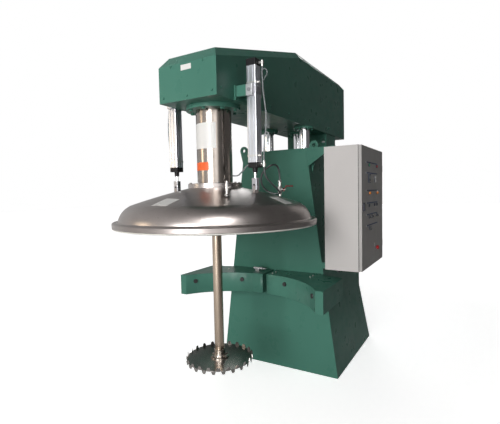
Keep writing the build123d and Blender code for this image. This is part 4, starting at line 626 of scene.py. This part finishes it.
def weld_bead(name, route, radius, body, material):
    """Fillet weld: a rippled bead along a line of points."""
    shape = bmesh.new()
    for first, second in zip(route, route[1:]):
        first, second = Vector(first), Vector(second)
        way = (second - first).normalized()
        count = max(2, int((second - first).length / (radius * 1.6)))
        side = way.orthogonal().normalized()
        other = way.cross(side)
        rings = []
        for k in range(count + 1):
            swell = radius * (1.0 if k % 2 else 0.86)
            centre = first.lerp(second, k / count)
            rings.append([
                shape.verts.new(
                    centre + (side * math.cos(math.tau * m / 6) + other * math.sin(math.tau * m / 6)) * swell
                )
                for m in range(6)
            ])
        for low, high in zip(rings, rings[1:]):
            for m in range(6):
                following = (m + 1) % 6
                shape.faces.new((low[m], low[following], high[following], high[m]))
        shape.faces.new(rings[-1])
        shape.faces.new(list(reversed(rings[0])))
    mesh_piece(name, shape, material, body, True)


green = looks["green_paint"]
BASE_HALF_WIDTH, TOP_HALF_WIDTH, COLUMN_HEIGHT = 0.613, 0.332, 2.100


def column_edge(y, z, side, proud=0.001):
    """Point on the column's side plate."""
    half = BASE_HALF_WIDTH + (TOP_HALF_WIDTH - BASE_HALF_WIDTH) * z / COLUMN_HEIGHT
    return (side * (half + proud), y, z)


weld_bead(
    "cradle_weld", [(x, -0.591, 0.7695) for x in (-0.440, 0.440)], 0.004, "column", green,
)


def lamp(name, spot, target, power, size, colour=(1, 1, 1)):
    """Soft square lamp aimed at a point."""
    data = bpy.data.lights.new(name, "AREA")
    data.energy = power
    data.size = size
    data.color = colour
    item = bpy.data.objects.new(name, data)
    item.location = spot
    item.rotation_euler = (Vector(target) - Vector(spot)).to_track_quat("-Z", "Y").to_euler()
    bpy.context.collection.objects.link(item)


def studio():
    """Pale floor, pale world and soft lamps."""
    mesh = bpy.data.meshes.new("floor")
    grid = bmesh.new()
    bmesh.ops.create_grid(grid, x_segments=1, y_segments=1, size=40)
    grid.to_mesh(mesh)
    grid.free()
    floor = bpy.data.objects.new("floor", mesh)
    bpy.context.collection.objects.link(floor)
    material, tree, shader = new_material("floor_pale")
    vector = coordinates(tree)
    pale = ramp(tree, noise(tree, vector, 1.5), [(0.3, (0.84, 0.84, 0.84)), (0.7, (0.87, 0.87, 0.87))])
    shader.inputs["Roughness"].default_value = 0.8
    shader.inputs["Emission Color"].default_value = (1, 1, 1, 1)
    path = node(tree, "ShaderNodeLightPath")
    # In metal the floor shows brightest in front and to the left, as the studio round it does
    lean = node(tree, "ShaderNodeVectorMath", operation="DOT_PRODUCT")
    lean.inputs[1].default_value = (-0.72, -0.69, 0)
    tree.links.new(vector, lean.inputs[0])
    dimmed = node(tree, "ShaderNodeMath", operation="MULTIPLY")
    tree.links.new(spread(tree, lean.outputs["Value"], 0.08, 0.65, -2.5, 4.5), dimmed.inputs[1])
    tree.links.new(path.outputs["Is Glossy Ray"], dimmed.inputs[0])
    seen = node(tree, "ShaderNodeMath", operation="MAXIMUM")
    tree.links.new(path.outputs["Is Camera Ray"], seen.inputs[0])
    tree.links.new(dimmed.outputs["Value"], seen.inputs[1])
    clear = node(tree, "ShaderNodeMath", operation="MAXIMUM")
    tree.links.new(seen.outputs["Value"], clear.inputs[0])
    tree.links.new(path.outputs["Is Transmission Ray"], clear.inputs[1])
    colour = node(tree, "ShaderNodeMix", data_type="RGBA")
    tree.links.new(clear.outputs["Value"], colour.inputs["Factor"])
    tree.links.new(pale, [item for item in colour.inputs if item.name == "B" and item.type == "RGBA"][0])
    [item for item in colour.inputs if item.name == "A" and item.type == "RGBA"][0].default_value = (0.22, 0.22, 0.22, 1)
    tree.links.new([item for item in colour.outputs if item.type == "RGBA"][0], shader.inputs["Base Color"])
    reach = node(tree, "ShaderNodeVectorMath", operation="LENGTH")
    tree.links.new(vector, reach.inputs[0])
    far = spread(tree, reach.outputs["Value"], 0.66, 1.0, 3.0, 8.0)
    glow = node(tree, "ShaderNodeMath", operation="MULTIPLY")
    tree.links.new(far, glow.inputs[1])
    tree.links.new(clear.outputs["Value"], glow.inputs[0])
    tree.links.new(glow.outputs["Value"], shader.inputs["Emission Strength"])
    mesh.materials.append(material)
    world = bpy.data.worlds.new("studio")
    world.use_nodes = True
    bpy.context.scene.world = world
    nodes = world.node_tree.nodes
    links = world.node_tree.links
    background = nodes["Background"]
    background.inputs["Color"].default_value = (1, 1, 1, 1)
    path = nodes.new("ShaderNodeLightPath")
    seen = nodes.new("ShaderNodeMath")
    seen.operation = "MAXIMUM"
    links.new(path.outputs["Is Camera Ray"], seen.inputs[0])
    links.new(path.outputs["Is Transmission Ray"], seen.inputs[1])
    # The studio is brightest in front and to the left, and dims overhead and to the right
    place = nodes.new("ShaderNodeTexCoord")
    facing = nodes.new("ShaderNodeVectorMath")
    facing.operation = "DOT_PRODUCT"
    facing.inputs[1].default_value = (-0.62, -0.66, -0.42)
    links.new(place.outputs["Generated"], facing.inputs[0])
    studio_level = nodes.new("ShaderNodeMapRange")
    studio_level.interpolation_type = "SMOOTHSTEP"
    studio_level.inputs["From Min"].default_value = -0.75
    studio_level.inputs["From Max"].default_value = 0.55
    studio_level.inputs["To Min"].default_value = 0.14
    studio_level.inputs["To Max"].default_value = 0.75
    links.new(facing.outputs["Value"], studio_level.inputs["Value"])
    shiny = nodes.new("ShaderNodeMapRange")
    shiny.inputs["To Min"].default_value = 0.13
    links.new(path.outputs["Is Glossy Ray"], shiny.inputs["Value"])
    # A bright window high in front, seen only in what shines
    window = nodes.new("ShaderNodeVectorMath")
    window.operation = "DOT_PRODUCT"
    window.inputs[1].default_value = (0.46, -0.60, 0.65)
    links.new(place.outputs["Generated"], window.inputs[0])
    window_level = nodes.new("ShaderNodeMapRange")
    window_level.interpolation_type = "SMOOTHSTEP"
    window_level.inputs["From Min"].default_value = 0.965
    window_level.inputs["From Max"].default_value = 0.995
    window_level.inputs["To Max"].default_value = 22.0
    links.new(window.outputs["Value"], window_level.inputs["Value"])
    # A tall strip of light under the window, which draws the upright streaks on tubes and rods
    level_part = nodes.new("ShaderNodeVectorMath")
    level_part.operation = "MULTIPLY"
    level_part.inputs[1].default_value = (1, 1, 0)
    links.new(place.outputs["Generated"], level_part.inputs[0])
    heading = nodes.new("ShaderNodeVectorMath")
    heading.operation = "NORMALIZE"
    links.new(level_part.outputs["Vector"], heading.inputs[0])
    strip = nodes.new("ShaderNodeVectorMath")
    strip.operation = "DOT_PRODUCT"
    strip.inputs[1].default_value = (0.69, -0.72, 0)
    links.new(heading.outputs["Vector"], strip.inputs[0])
    strip_level = nodes.new("ShaderNodeMapRange")
    strip_level.interpolation_type = "SMOOTHSTEP"
    strip_level.inputs["From Min"].default_value = 0.96
    strip_level.inputs["From Max"].default_value = 0.995
    strip_level.inputs["To Max"].default_value = 2.3
    links.new(strip.outputs["Value"], strip_level.inputs["Value"])
    height = nodes.new("ShaderNodeSeparateXYZ")
    links.new(place.outputs["Generated"], height.inputs["Vector"])
    below = nodes.new("ShaderNodeMapRange")
    below.inputs["From Min"].default_value = 0.80
    below.inputs["From Max"].default_value = 0.60
    links.new(height.outputs["Z"], below.inputs["Value"])
    strip_end = nodes.new("ShaderNodeMath")
    strip_end.operation = "MULTIPLY"
    links.new(strip_level.outputs["Result"], strip_end.inputs[0])
    links.new(below.outputs["Result"], strip_end.inputs[1])
    lights = nodes.new("ShaderNodeMath")
    lights.operation = "MAXIMUM"
    links.new(window_level.outputs["Result"], lights.inputs[0])
    links.new(strip_end.outputs["Value"], lights.inputs[1])
    both = nodes.new("ShaderNodeMath")
    both.operation = "ADD"
    links.new(studio_level.outputs["Result"], both.inputs[0])
    links.new(lights.outputs["Value"], both.inputs[1])
    links.new(both.outputs["Value"], shiny.inputs["To Max"])
    level = nodes.new("ShaderNodeMapRange")
    level.inputs["To Max"].default_value = 1.0
    links.new(shiny.outputs["Result"], level.inputs["To Min"])
    links.new(seen.outputs["Value"], level.inputs["Value"])
    links.new(level.outputs["Result"], background.inputs["Strength"])
    lamp("key", (0.9, -11.6, 3.3), (0, -0.9, 1.5), 690, 4.0)
    lamp("fill", (1.2, -8.5, 2.2), (0, -0.6, 1.5), 150, 3.6)
    lamp("warm", (-4.6, -5.6, 2.7), (0, -1.2, 1.6), 30, 1.2, (1, 0.82, 0.58))
    lamp("back", (-2.5, 5.0, 4.5), (0, 0, 1.6), 110, 3.0)


studio()
bpy.context.scene.view_settings.view_transform = "Standard"
